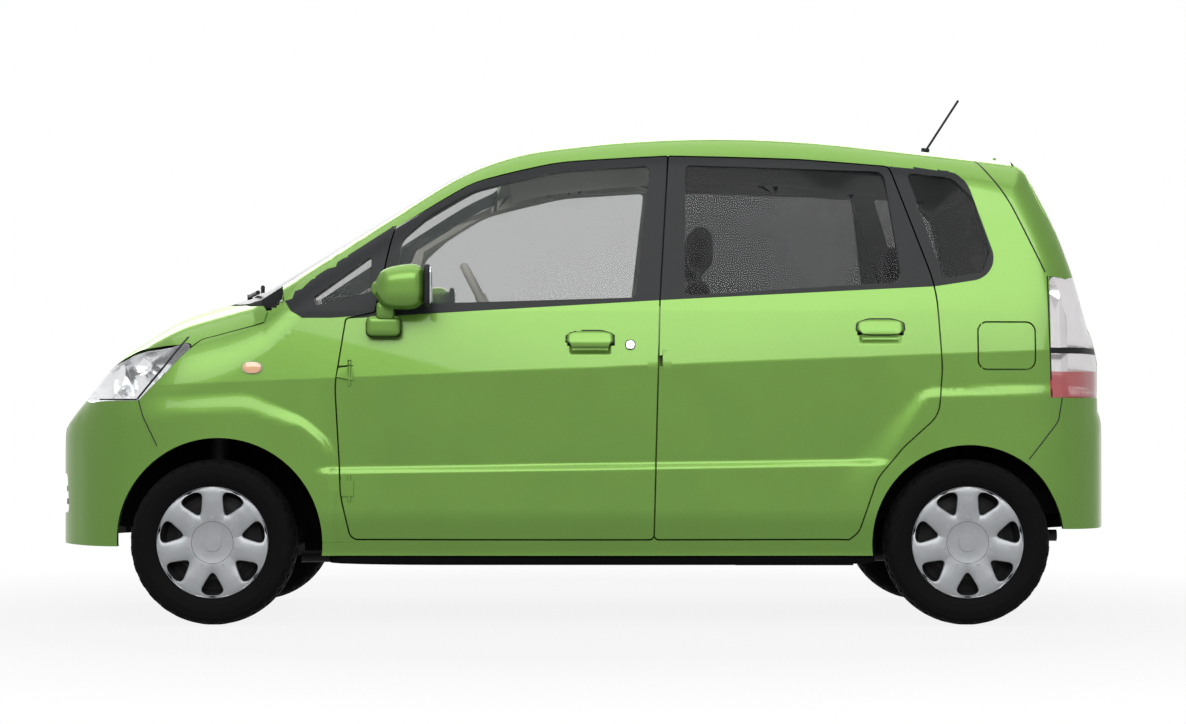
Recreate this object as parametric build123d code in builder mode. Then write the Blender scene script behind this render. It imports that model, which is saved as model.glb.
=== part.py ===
from build123d import *
from math import cos, radians, sin, sqrt
import os

os.makedirs("parts", exist_ok=True)

# Overall sizes, mm. Front is -X, left is -Y, ground is Z = 0.
body_length = 3395.0
body_width = 1475.0
roof_height = 1582.0
wheelbase = 2360.0
front_overhang = 550.0
half_track = 640.0
tyre_radius = 260.0
tyre_width = 155.0
rim_radius = 166.0

nose_x = -body_length / 2
tail_x = body_length / 2
half_width = body_width / 2
front_axle_x = nose_x + front_overhang
rear_axle_x = front_axle_x + wheelbase
mid_x = (front_axle_x + rear_axle_x) / 2
cowl_x = front_axle_x + 62

# Body wall layers, mm below the outside.
skin_depth = 30.0
frame_depth = 36.0
cabin_depth = 90.0
cabin_crown = 60.0
glass_depth = 5.0
glass_thickness = 5.0
moving_gap = 5.0
fixed_gap = 0.4
side_bow = 40000.0
lower_crown = 2000.0
upper_crown = 1400.0

# Wheel arches.
front_arch_x = front_axle_x + 18
rear_arch_x = rear_axle_x + 6
front_arch_radius = 327.0
rear_arch_radius = 305.0

# Hinge lines.
front_hinge_x = -718.0
rear_hinge_x = 264.0
hinge_inset = 10.0
pin_radius = 5.0
pin_play = 0.3
tailgate_hinge_x = 1345.0
tailgate_hinge_z = 1490.0
tailgate_top_gap = 8.0
tailgate_swing = 9.5
bonnet_hinge_x = -960.0
bonnet_hinge_z = 965.0
lid_hinge_x = 1258.0
lid_thickness = 8.0

# Steering.
kingpin_y = 520.0
steering_arm = 113.0
stub_radius = 14.0
ball_pin = 8.0
wheel_play = 0.3

# Side profiles on the centre line: x, z, corner radius. They run front to rear.
lower_profile = [
    (nose_x - 12, -400, 0),
    (nose_x, 610, 130),
    (nose_x + 217, 868, 420),
    (nose_x + 407, 988, 420),
    (cowl_x + 300, 1133, 60),
    (cowl_x + 420, 1000, 60),
    (tail_x - 75, 1000, 60),
    (tail_x - 36, 885, 260),
    (tail_x - 34, 715, 40),
    (tail_x, 655, 60),
    (tail_x + 12, -400, 0),
]
upper_profile = [
    (cowl_x - 400, 805.3, 0),
    (cowl_x + 796, 1528, 900),
    (cowl_x + 1516, roof_height + 27, 4000),
    (tail_x - 282, 1500, 70),
    (tail_x - 187, 1320, 1200),
    (tail_x - 36, 885, 0),
]
# Cross section at the widest place: half width, z, corner radius.
section = [
    (half_width - 31, -300, 0),
    (half_width - 31, 230, 80),
    (half_width - 2, 340, 200),
    (half_width, 785, 40),
    (half_width - 31, 985, 60),
    (half_width - 232, 1710, 0),
]
# Outline from above: x, y, corner radius.
plan_outline = [
    (mid_x, -810, 0),
    (nose_x + 420, -728, 700),
    (nose_x + 170, -630, 330),
    (nose_x + 40, -420, 550),
    (nose_x, -200, 1100),
    (nose_x, 200, 1100),
    (nose_x + 40, 420, 550),
    (nose_x + 170, 630, 330),
    (nose_x + 420, 728, 700),
    (mid_x, 810, 0),
    (tail_x - 220, 715, 300),
    (tail_x - 60, 600, 260),
    (tail_x, 350, 900),
    (tail_x, -350, 900),
    (tail_x - 60, -600, 260),
    (tail_x - 220, -715, 300),
]

# Outlines of the left side: x, z, corner radius, clockwise.
front_door_outline = [
    (-715, 269, 30),
    (-745, 400, 300),
    (-764, 752, 300),
    (-731, 960, 12),
    (-640, 980, 8),
    (-584, 1257, 10),
    (-341, 1402, 260),
    (-62, 1466, 600),
    (280, 1483, 8),
    (251, 1017, 900),
    (232, 269, 15),
]
rear_door_outline = [
    (232, 269, 15),
    (251, 1017, 900),
    (280, 1483, 8),
    (697, 1471, 800),
    (979, 1450, 25),
    (1118, 1058, 500),
    (1134, 798, 300),
    (1122, 658, 90),
    (1013, 560, 90),
    (930, 462, 120),
    (872, 293, 60),
    (842, 269, 12),
]
front_window_outline = [
    (-576, 1004, 14),
    (-561, 1208, 60),
    (-477, 1288, 200),
    (-341, 1367, 240),
    (-62, 1431, 500),
    (222, 1448, 14),
    (175, 1026, 14),
]
rear_window_outline = [
    (329, 1033, 14),
    (335, 1450, 14),
    (962, 1430, 30),
    (1012, 1076, 30),
]
quarter_window_outline = [
    (1142, 1088, 14),
    (1034, 1428, 14),
    (1176, 1412, 50),
    (1246, 1345, 60),
    (1292, 1165, 30),
    (1268, 1108, 20),
]
triangle_window_outline = [
    (-826, 1002, 8),
    (-835, 1027, 8),
    (-654, 1160, 8),
    (-654, 1044, 8),
]
fuel_lid_outline = [
    (1246, 801, 30),
    (1246, 951, 30),
    (1427, 951, 30),
    (1427, 801, 30),
]
# Fixed side panels: the side frame's three stretches, the front fender and the lamps.
cabin_side_outline = [
    (-835, 219, 0),
    (-835, 261, 0),
    (-700, 261, 0),
    (-700, 963, 0),
    (-940, 963, 0),
    (-940, 1700, 0),
    (1300, 1700, 0),
    (1300, 219, 0),
]
quarter_outline = [
    (1290, 219, 0),
    (1290, 1097, 0),
    (1478, 1097, 0),
    (1478, 713, 0),
    (1516, 713, 0),
    (1504, 627, 60),
    (1418, 534, 30),
    (1340, 450, 0),
    (1340, 219, 0),
]
rear_pillar_outline = [
    (1290, 1097, 0),
    (1290, 1700, 0),
    (1720, 1700, 0),
    (1720, 1097, 0),
]
front_fender_outline = [
    (-1250, 440, 0),
    (-1328, 559, 40),
    (-1378, 658, 60),
    (-1388, 706, 0),
    (-1191, 921, 25),
    (-1100, 941, 200),
    (-940, 962.6, 0),
    (-700.4, 962.6, 0),
    (-700.4, 261.4, 0),
    (-1000, 261.4, 0),
]
headlamp_outline = [
    (-1388.4, 706.4, 0),
    (-1660, 706.4, 0),
    (-1590, 742, 60),
    (-1500, 800, 300),
    (-1400, 858, 300),
    (-1300, 898, 300),
    (-1191.5, 920.6, 20),
]
tail_lamp_outline = [
    (1478.4, 713.4, 0),
    (1478.4, 1096.6, 20),
    (1720, 1096.6, 0),
    (1720, 713.4, 0),
]
front_bumper_outline = [
    (-1720, 245, 0),
    (-1720, 706, 0),
    (-1388.4, 706, 0),
    (-1378.4, 658, 60),
    (-1328.4, 559, 40),
    (-1250, 441, 0),
    (-1250, 245, 0),
]
rear_bumper_outline = [
    (1340.4, 300, 0),
    (1340.4, 450, 0),
    (1418.4, 534, 30),
    (1504.4, 627, 60),
    (1516.4, 712.6, 0),
    (1720, 712.6, 0),
    (1720, 300, 0),
]
# Seen from behind: y, z, radius, clockwise with +Y to the right.
tailgate_outline = [
    (-520, 718, 40),
    (-545, 1100, 60),
    (-560, 1300, 300),
    (-478, 1480, 40),
    (-440, 1700, 0),
    (440, 1700, 0),
    (478, 1480, 40),
    (560, 1300, 300),
    (545, 1100, 60),
    (520, 718, 40),
]
tailgate_window_outline = [
    (-478, 1060, 50),
    (-488, 1280, 120),
    (-425, 1422, 50),
    (425, 1422, 50),
    (488, 1280, 120),
    (478, 1060, 50),
]
# Seen from above: x, y, radius, clockwise with +X to the right.
windscreen_outline = [
    (-935, -588, 40),
    (-1015, -430, 300),
    (-1058, -230, 500),
    (-1058, 230, 500),
    (-1015, 430, 300),
    (-935, 588, 40),
    (-300, 524, 30),
    (-272, 300, 900),
    (-272, -300, 900),
    (-300, -524, 30),
]
roof_rear_x = 1381.0
roof_outline = [
    (-299.5, -505, 0),
    (-271.6, -300, 900),
    (-271.6, 300, 900),
    (-299.5, 505, 0),
    (roof_rear_x, 505, 0),
    (roof_rear_x, -505, 0),
]
bonnet_outline = [
    (-1720, -760, 0),
    (-1720, 760, 0),
    (-996, 760, 0),
    (-996, 690, 0),
    (-1003, 640, 30),
    (-1036, 590, 200),
    (-1112, 430, 300),
    (-1152, 250, 600),
    (-1152, -250, 600),
    (-1112, -430, 300),
    (-1036, -590, 200),
    (-1003, -640, 30),
    (-996, -690, 0),
    (-996, -760, 0),
]
cowl_outline = [
    (-1010, -580, 0),
    (-1096, -430, 300),
    (-1138, -250, 600),
    (-1138, 250, 600),
    (-1096, 430, 300),
    (-1010, 580, 0),
    (-940.4, 580, 0),
    (-940.4, -580, 0),
]


def inset(points, depth, closed=True):
    """Corners moved to the right of the way the outline runs, with concentric radii."""
    moved = []
    last = len(points) - 1
    for i, (u, v, radius) in enumerate(points):
        ways = []
        if closed or i > 0:
            ways.append((points[i - 1], points[i]))
        if closed or i < last:
            ways.append((points[i], points[(i + 1) % (last + 1)]))
        steps = []
        for a, b in ways:
            size = sqrt((b[0] - a[0]) ** 2 + (b[1] - a[1]) ** 2)
            steps.append(((b[0] - a[0]) / size, (b[1] - a[1]) / size))
        au, av = steps[0]
        bu, bv = steps[-1]
        scale = depth / (1 + au * bu + av * bv)
        turn = au * bv - av * bu
        kept = radius + depth if turn > 0 else radius - depth
        if radius == 0:
            kept = 0
        moved.append((u + (av + bv) * scale, v - (au + bu) * scale, max(kept, 0)))
    return moved


def open_line(points):
    return FilletPolyline(*[(u, v) for u, v, r in points], radius=[r for u, v, r in points[1:-1]])


def prism(points, plane, start, end):
    """A rounded outline drawn out along its plane's normal."""
    with BuildPart() as solid:
        with BuildSketch(plane.offset(start)):
            with BuildLine():
                FilletPolyline(*[(u, v) for u, v, r in points], radius=[r for u, v, r in points], close=True)
            make_face()
        extrude(amount=end - start)
    return solid.part


def left_side(points, near=380, far=800):
    return prism(points, Plane.XZ, near, far)


def both_sides(points):
    return prism(points, Plane.XZ, -800, 800)


def from_above(points):
    return prism(points, Plane.XY, 400, 1800)


def block(x0, x1, y0, y1, z0, z1):
    with BuildPart() as solid:
        with Locations(((x0 + x1) / 2, (y0 + y1) / 2, (z0 + z1) / 2)):
            Box(abs(x1 - x0), abs(y1 - y0), abs(z1 - z0))
    return solid.part


def rod(start, end, radius):
    axis = Vector(*end) - Vector(*start)
    with BuildPart() as solid:
        with BuildSketch(Plane(origin=start, z_dir=axis)):
            Circle(radius)
        extrude(amount=axis.length)
    return solid.part


def crowned(points, crown):
    with BuildPart() as solid:
        with BuildSketch(Plane(origin=(0, 0, -crown), x_dir=(1, 0, 0), z_dir=(0, 1, 0))):
            with BuildLine():
                line = open_line([(x, z + crown, r) for x, z, r in points])
                Polyline(line @ 1, ((line @ 1).X, 0), ((line @ 0).X, 0), line @ 0)
            make_face()
        revolve(axis=Axis((0, 0, -crown), (1, 0, 0)))
    return solid.part


def envelope(side, crown):
    """The body's outside, moved in by side on the flanks and ends and by crown on top."""
    centre = (mid_x, side_bow - half_width, 0)
    spread = 6.0
    turn = radians(-spread / 2)
    with BuildPart() as flank:
        with BuildSketch(Plane(origin=centre, x_dir=(sin(turn), -cos(turn), 0), z_dir=(-cos(turn), -sin(turn), 0))):
            with BuildLine():
                line = open_line([(side_bow - half_width + b, z, r) for b, z, r in inset(section, -side, False)])
                Polyline(line @ 1, (side_bow - 2000, (line @ 1).Y), (side_bow - 2000, (line @ 0).Y), line @ 0)
            make_face()
        revolve(axis=Axis(centre, (0, 0, 1)), revolution_arc=spread)
    with BuildPart() as solid:
        add(crowned(inset(lower_profile, crown, False), lower_crown))
        add(crowned(inset(upper_profile, crown, False), upper_crown))
        add(flank.part, mode=Mode.INTERSECT)
        add(flank.part.mirror(Plane.XZ), mode=Mode.INTERSECT)
        with BuildSketch(Plane.XY.offset(-200)):
            with BuildLine():
                line = open_line(inset(plan_outline, side))
                Line(line @ 1, line @ 0)
            make_face()
        extrude(amount=2200, mode=Mode.INTERSECT)
    return solid.part


skin_space = envelope(skin_depth, skin_depth)
frame_space = envelope(frame_depth, frame_depth)
cabin_space = envelope(cabin_depth, cabin_crown)
inside_space = envelope(cabin_depth + fixed_gap, cabin_crown + fixed_gap)
glass_shell = envelope(glass_depth, glass_depth) - envelope(glass_depth + glass_thickness, glass_depth + glass_thickness)

# Wheel arch places: x, arch radius.
arches = [
    (front_arch_x, front_arch_radius),
    (rear_arch_x, rear_arch_radius),
]
outer = envelope(0, 0)
with BuildPart() as arch_holes:
    for x, radius in arches:
        for way in (-1, 1):
            add(rod((x, way * 400, tyre_radius), (x, way * 800, tyre_radius), radius))

skin = outer - skin_space
wall = outer - cabin_space
frame = frame_space - cabin_space
windscreen_cut = from_above(inset(windscreen_outline, -fixed_gap))
roof_cut = from_above(inset(roof_outline, -fixed_gap))
front_opening = left_side(inset(front_door_outline, -moving_gap / 2))
rear_opening = left_side(inset(rear_door_outline, -moving_gap / 2))
tailgate_prism = prism(tailgate_outline, Plane.YZ, roof_rear_x + tailgate_top_gap, 1800)
tailgate_cut = prism(inset(tailgate_outline, -moving_gap), Plane.YZ, roof_rear_x, 1800)
headlamp_prism = left_side(headlamp_outline, 430)


def flank_y(x, inward):
    """Left side's widest y at x, moved in."""
    return -(half_width - (x - mid_x) ** 2 / (2 * side_bow) - inward)


# Door hinges on the left: door, hinge line x, eye heights.
hinges = [
    ("front", front_hinge_x, (430, 790)),
    ("rear", rear_hinge_x, (430, 820)),
]
hinge_half = 24.0
hinge_room_depth = 68.0
pin_reach = 16.0

lid_low = 801.0
lid_high = 951.0
lid_pin_radius = 2.5
flank_lean = 31.0 / 200.0


def lid_point(z):
    """A point on the fuel lid's hinge line, which leans with the flank."""
    return (lid_hinge_x, flank_y(lid_hinge_x, lid_thickness / 2 + (z - 785) * flank_lean), z)


with BuildPart() as hinge_pins:
    for name, x, heights in hinges:
        y = flank_y(x, hinge_inset)
        for z in heights:
            add(rod((x, y, z - hinge_half - pin_reach), (x, y, z + hinge_half + pin_reach), pin_radius))
            add(rod((x, y, z - hinge_half + 2), (x, y, z + hinge_half - 2), 6.0))
            add(block(x - 6, x + 6, y, y + 62, z - hinge_half + 2, z + hinge_half - 2))

with BuildPart() as hinge_room:
    for name, x, heights in hinges:
        add(block(x - 58, x + 60, flank_y(x, 0), flank_y(x, hinge_room_depth), 262, 975))

with BuildPart() as side_frame_left:
    for outline in (cabin_side_outline, quarter_outline, rear_pillar_outline):
        with BuildPart(mode=Mode.PRIVATE) as side_panel:
            add(wall)
            add(left_side(outline, 300), mode=Mode.INTERSECT)
        add(side_panel.part)
    add(windscreen_cut, mode=Mode.SUBTRACT)
    add(roof_cut, mode=Mode.SUBTRACT)
    add(tailgate_cut, mode=Mode.SUBTRACT)
    with BuildPart(mode=Mode.PRIVATE) as tailgate_room:
        add(prism(inset(tailgate_outline, -tailgate_swing), Plane.YZ, roof_rear_x, 1800))
        add(block(roof_rear_x, 1800, -600, 600, 1290, 1600), mode=Mode.INTERSECT)
    add(tailgate_room.part, mode=Mode.SUBTRACT)
    add(front_opening, mode=Mode.SUBTRACT)
    add(rear_opening, mode=Mode.SUBTRACT)
    with BuildPart(mode=Mode.PRIVATE) as inner_frame:
        add(frame)
        inner_reach = [(-850, 219, 0), (-850, 963, 0), (-940, 963, 0), (-940, 1700, 0), (1300, 1700, 0), (1300, 219, 0)]
        add(left_side(inner_reach), mode=Mode.INTERSECT)
        add(windscreen_cut, mode=Mode.SUBTRACT)
        add(roof_cut, mode=Mode.SUBTRACT)
        add(left_side(inset(front_door_outline, 28)), mode=Mode.SUBTRACT)
        add(left_side(inset(rear_door_outline, 28)), mode=Mode.SUBTRACT)
        add(hinge_room.part, mode=Mode.SUBTRACT)
        add(rod((front_arch_x, -400, tyre_radius), (front_arch_x, -800, tyre_radius), 345), mode=Mode.SUBTRACT)
    add(inner_frame.part)
    add(hinge_pins.part)
    add(arch_holes.part, mode=Mode.SUBTRACT)
    add(left_side(quarter_window_outline), mode=Mode.SUBTRACT)
    add(left_side(triangle_window_outline), mode=Mode.SUBTRACT)
    add(left_side(inset(fuel_lid_outline, -moving_gap / 2), 650), mode=Mode.SUBTRACT)
    add(rod(lid_point(lid_low - 9), lid_point(lid_high + 9), lid_pin_radius))

with BuildPart() as side_frame_right:
    add(side_frame_left.part.mirror(Plane.XZ))
    with BuildPart(mode=Mode.PRIVATE) as lid_fill:
        add(wall)
        add(left_side(inset(fuel_lid_outline, -12), 640).mirror(Plane.XZ), mode=Mode.INTERSECT)
    add(lid_fill.part)

with BuildPart() as fuel_lid:
    add(outer)
    add(envelope(lid_thickness, lid_thickness), mode=Mode.SUBTRACT)
    add(left_side(inset(fuel_lid_outline, moving_gap / 2), 600), mode=Mode.INTERSECT)
    low = lid_point(lid_low - 20)
    high = lid_point(lid_high + 20)
    add(rod(low, high, lid_pin_radius + pin_play), mode=Mode.SUBTRACT)

with BuildPart() as front_door_left:
    add(skin)
    add(left_side(inset(front_door_outline, moving_gap / 2)), mode=Mode.INTERSECT)
    with BuildPart(mode=Mode.PRIVATE) as front_inner:
        add(wall)
        lower = front_door_outline[:4] + [(251, 1015, 0), (232, 269, 15)]
        add(left_side(inset(lower, 40)), mode=Mode.INTERSECT)
    add(front_inner.part)
    add(left_side(front_window_outline), mode=Mode.SUBTRACT)
    add(block(-39, 110, -716, -744, 874, 908))

with BuildPart() as rear_door_left:
    add(skin)
    add(left_side(inset(rear_door_outline, moving_gap / 2)), mode=Mode.INTERSECT)
    with BuildPart(mode=Mode.PRIVATE) as rear_inner:
        add(wall)
        lower = [(232, 269, 15), (251, 1012, 0), (1118, 1052, 0)] + rear_door_outline[6:]
        add(left_side(inset(lower, 40)), mode=Mode.INTERSECT)
    add(rear_inner.part)
    add(left_side(rear_window_outline), mode=Mode.SUBTRACT)
    add(block(867, 1013, -704, -734, 908, 942))

with BuildPart() as hinge_notches:
    for name, x, heights in hinges:
        y = flank_y(x, hinge_inset)
        for z in heights:
            near = z - hinge_half - pin_reach - 0.5
            add(block(x - 45, x + 13, flank_y(x, 4), flank_y(x, 110), z - hinge_half, z + hinge_half))
            add(rod((x, y, near), (x, y, 2 * z - near), pin_radius + pin_play))
for door in (front_door_left, rear_door_left):
    with door:
        add(hinge_notches.part, mode=Mode.SUBTRACT)

with BuildPart() as front_door_right:
    add(front_door_left.part.mirror(Plane.XZ))
with BuildPart() as rear_door_right:
    add(rear_door_left.part.mirror(Plane.XZ))

with BuildPart() as front_door_glass_left:
    add(glass_shell)
    add(left_side(inset(front_window_outline, fixed_gap)), mode=Mode.INTERSECT)
with BuildPart() as rear_door_glass_left:
    add(glass_shell)
    add(left_side(inset(rear_window_outline, fixed_gap)), mode=Mode.INTERSECT)
with BuildPart() as front_door_glass_right:
    add(front_door_glass_left.part.mirror(Plane.XZ))
with BuildPart() as rear_door_glass_right:
    add(rear_door_glass_left.part.mirror(Plane.XZ))

with BuildPart() as fixed_side_glass:
    add(glass_shell)
    with BuildPart(mode=Mode.PRIVATE) as fixed_windows:
        add(left_side(inset(quarter_window_outline, fixed_gap)))
        add(left_side(inset(triangle_window_outline, fixed_gap)))
        add(fixed_windows.part.mirror(Plane.XZ))
    add(fixed_windows.part, mode=Mode.INTERSECT)

mirror_x = (-640.0, -455.0)
mirror_y = (738.0, 872.0)
mirror_z = (984.0, 1132.0)
with BuildPart() as mirror_left:
    add(block(mirror_x[0], mirror_x[1], -mirror_y[0], -mirror_y[1], mirror_z[0], mirror_z[1]))
    fillet(mirror_left.edges(), 32)
    add(block(-655, -565, -680, -768, 908, 1000))
    add(outer.translate((0, -fixed_gap, 0)), mode=Mode.SUBTRACT)
with BuildPart() as mirror_right:
    add(mirror_left.part.mirror(Plane.XZ))

with BuildPart() as front_fender_left:
    add(skin)
    add(left_side(front_fender_outline), mode=Mode.INTERSECT)
    add(front_opening, mode=Mode.SUBTRACT)
    add(arch_holes.part, mode=Mode.SUBTRACT)
with BuildPart() as front_fender_right:
    add(front_fender_left.part.mirror(Plane.XZ))

with BuildPart() as headlamps:
    add(wall)
    with BuildPart(mode=Mode.PRIVATE) as lamp_room:
        add(headlamp_prism)
        add(headlamp_prism.mirror(Plane.XZ))
    add(lamp_room.part, mode=Mode.INTERSECT)

bonnet_front_z = 711.0
with BuildPart() as bonnet:
    add(skin)
    add(from_above(bonnet_outline), mode=Mode.INTERSECT)
    add(block(-1720, -940, -800, 800, bonnet_front_z, 1300), mode=Mode.INTERSECT)
    with BuildPart(mode=Mode.PRIVATE) as beside_bonnet:
        add(left_side(inset(headlamp_outline, -moving_gap), 430 - moving_gap))
        add(left_side(inset(front_fender_outline, -moving_gap), 380))
        add(beside_bonnet.part.mirror(Plane.XZ))
    add(beside_bonnet.part, mode=Mode.SUBTRACT)
    for way in (-1, 1):
        add(block(-1078, bonnet_hinge_x + 12, way * 600, way * 630, 950, 977))
        start = (bonnet_hinge_x, way * 590, bonnet_hinge_z)
        end = (bonnet_hinge_x, way * 640, bonnet_hinge_z)
        add(rod(start, end, pin_radius + pin_play), mode=Mode.SUBTRACT)

with BuildPart() as cowl_panel:
    add(skin)
    add(from_above(cowl_outline), mode=Mode.INTERSECT)
    add(windscreen_cut, mode=Mode.SUBTRACT)

with BuildPart() as windscreen:
    add(glass_shell)
    add(from_above(windscreen_outline), mode=Mode.INTERSECT)

tailgate_arm_y = (315.0, 345.0)
with BuildPart() as roof_panel:
    add(skin)
    add(from_above(roof_outline), mode=Mode.INTERSECT)
    add(windscreen_cut, mode=Mode.SUBTRACT)
    for way in (-1, 1):
        near, far = way * (tailgate_arm_y[0] - 6), way * (tailgate_arm_y[1] + 6)
        add(block(tailgate_hinge_x - 22, roof_rear_x + 5, near, far, 1400, 1600), mode=Mode.SUBTRACT)
        start = (tailgate_hinge_x, near - way * 9, tailgate_hinge_z)
        end = (tailgate_hinge_x, far + way * 9, tailgate_hinge_z)
        add(rod(start, end, 4.0))

with BuildPart() as tailgate:
    add(skin)
    add(tailgate_prism, mode=Mode.INTERSECT)
    with BuildPart(mode=Mode.PRIVATE) as tailgate_inner:
        add(wall)
        lower = [tailgate_outline[0], tailgate_outline[1], tailgate_outline[-2], tailgate_outline[-1]]
        add(prism(inset(lower, 55), Plane.YZ, 1450, 1800), mode=Mode.INTERSECT)
    add(tailgate_inner.part)
    add(prism(tailgate_window_outline, Plane.YZ, roof_rear_x, 1800), mode=Mode.SUBTRACT)
    for way in (-1, 1):
        near, far = way * tailgate_arm_y[0], way * tailgate_arm_y[1]
        with BuildPart(mode=Mode.PRIVATE) as arm:
            add(block(tailgate_hinge_x - 10, roof_rear_x + 20, near, far, tailgate_hinge_z - 9, tailgate_hinge_z + 8))
            add(outer, mode=Mode.INTERSECT)
        add(arm.part)
        start = (tailgate_hinge_x, near - way * 5, tailgate_hinge_z)
        end = (tailgate_hinge_x, far + way * 5, tailgate_hinge_z)
        add(rod(start, end, 4.0 + pin_play), mode=Mode.SUBTRACT)
with BuildPart() as tailgate_glass:
    add(glass_shell)
    add(prism(inset(tailgate_window_outline, fixed_gap), Plane.YZ, roof_rear_x, 1800), mode=Mode.INTERSECT)

with BuildPart() as tail_lamps:
    add(wall)
    add(left_side(tail_lamp_outline), mode=Mode.INTERSECT)
    add(tailgate_cut, mode=Mode.SUBTRACT)
    add(tail_lamps.part.mirror(Plane.XZ))

plate_pitch = 210.0
plate_hole = 3.5
plate_z = 560.0
intake = [(-430, 340, 30), (-400, 470, 30), (400, 470, 30), (430, 340, 30)]
with BuildPart() as front_bumper:
    add(skin)
    add(both_sides(front_bumper_outline), mode=Mode.INTERSECT)
    add(arch_holes.part, mode=Mode.SUBTRACT)
    add(prism(intake, Plane.YZ, -1720, -1500), mode=Mode.SUBTRACT)
    for z in (378, 420):
        with BuildPart(mode=Mode.PRIVATE) as slat:
            add(glass_shell)
            add(block(-1720, -1500, -450, 450, z - 8, z + 8), mode=Mode.INTERSECT)
        add(slat.part)
    for y in (-plate_pitch / 2, plate_pitch / 2):
        add(rod((nose_x - 20, y, plate_z), (nose_x + 60, y, plate_z), plate_hole), mode=Mode.SUBTRACT)

with BuildPart() as rear_bumper:
    add(skin)
    add(both_sides(rear_bumper_outline), mode=Mode.INTERSECT)
    add(arch_holes.part, mode=Mode.SUBTRACT)

# Wipers stand on the cowl: spindle y and z, blade tip x, y, z.
spindle_x = -1105.0
wiper_places = [
    (-60, 1056, (-1028, -500, 1050)),
    (300, 1043, (-1052, -150, 1082)),
]
with BuildPart() as wipers:
    for y, z, tip in wiper_places:
        add(rod((spindle_x, y, z - 40), (spindle_x, y, z + 6), 9))
    add(outer.translate((0, 0, fixed_gap)), mode=Mode.SUBTRACT)
    for y, z, tip in wiper_places:
        add(rod((spindle_x, y, z), tip, 7))

with BuildPart() as antenna:
    add(rod((1154, 0, 1500), (1162, 0, 1556), 14))
    add(outer.translate((0, 0, fixed_gap)), mode=Mode.SUBTRACT)
    add(rod((1160, 0, 1545), (1272, 0, 1718), 4))

# Inside the cabin.
dash_profile = [(-744, 560, 0), (-744, 1000, 30), (-560, 985, 40), (-440, 940, 30), (-412, 860, 30), (-470, 690, 40)]
column_start = (-328.0, 340.0, 1030.0)
column_lean = 28.0
column_way = (-cos(radians(column_lean)), 0, -sin(radians(column_lean)))
steering_radius = 180.0
column_radius = 18.0


def along_column(distance):
    return tuple(a + b * distance for a, b in zip(column_start, column_way))


with BuildPart() as dashboard:
    add(prism(dash_profile, Plane.XZ, -640, 640))
    add(inside_space, mode=Mode.INTERSECT)
    add(rod(along_column(0), along_column(330), column_radius + pin_play), mode=Mode.SUBTRACT)

with BuildPart() as steering_wheel:
    with Locations(Plane(origin=column_start, x_dir=(0, 1, 0), z_dir=column_way).location):
        Torus(steering_radius - 14, 14)
        Cylinder(52, 40)
        for turn in (0, 180, 90):
            with Locations(Location((0, 0, 0), (0, 0, turn))):
                with Locations((steering_radius / 2, 0, 0)):
                    Box(steering_radius - 30, 34, 14)
    add(rod(along_column(0), along_column(290), column_radius))

# Seats: y centre, half width.
with BuildPart() as front_seats:
    for y in (-340, 340):
        add(block(-190, 300, y - 240, y + 240, 400, 540))
        add(block(-120, 220, y - 200, y + 200, 240 + fixed_gap, 401))
        back = [(240, 530, 30), (330, 1090, 40), (430, 1090, 40), (370, 470, 30), (260, 470, 0)]
        add(prism(back, Plane.XZ, -y - 235, -y + 235))
        add(block(345, 430, y - 130, y + 130, 1120, 1266))
        add(rod((385, y - 50, 1080), (388, y - 50, 1130), 7))
        add(rod((385, y + 50, 1080), (388, y + 50, 1130), 7))
with BuildPart() as rear_seat:
    add(block(560, 970, -530, 530, 360 + fixed_gap, 560))
    back = [(960, 540, 30), (1035, 1090, 40), (1120, 1090, 40), (1075, 520, 0), (965, 520, 0)]
    add(prism(back, Plane.XZ, -530, 530))
    for y in (-300, 300):
        add(block(1040, 1110, y - 120, y + 120, 1115, 1240))
        add(rod((1075, y - 50, 1080), (1075, y - 50, 1125), 7))
        add(rod((1075, y + 50, 1080), (1075, y + 50, 1125), 7))

# Floor plates: x, x, half width, z, z.
floor_plates = [
    (-745, 470, 700, 205, 240),
    (455, 485, 700, 205, 360),
    (455, 1000, 700, 330, 360),
    (975, 1000, 700, 330, 500),
    (975, 1606, 700, 470, 500),
    (1576, 1606, 700, 330, 700),
    (-790, -745, 700, 205, 960),
    (-1560, -1520, 386, 360, 450),
]
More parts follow.
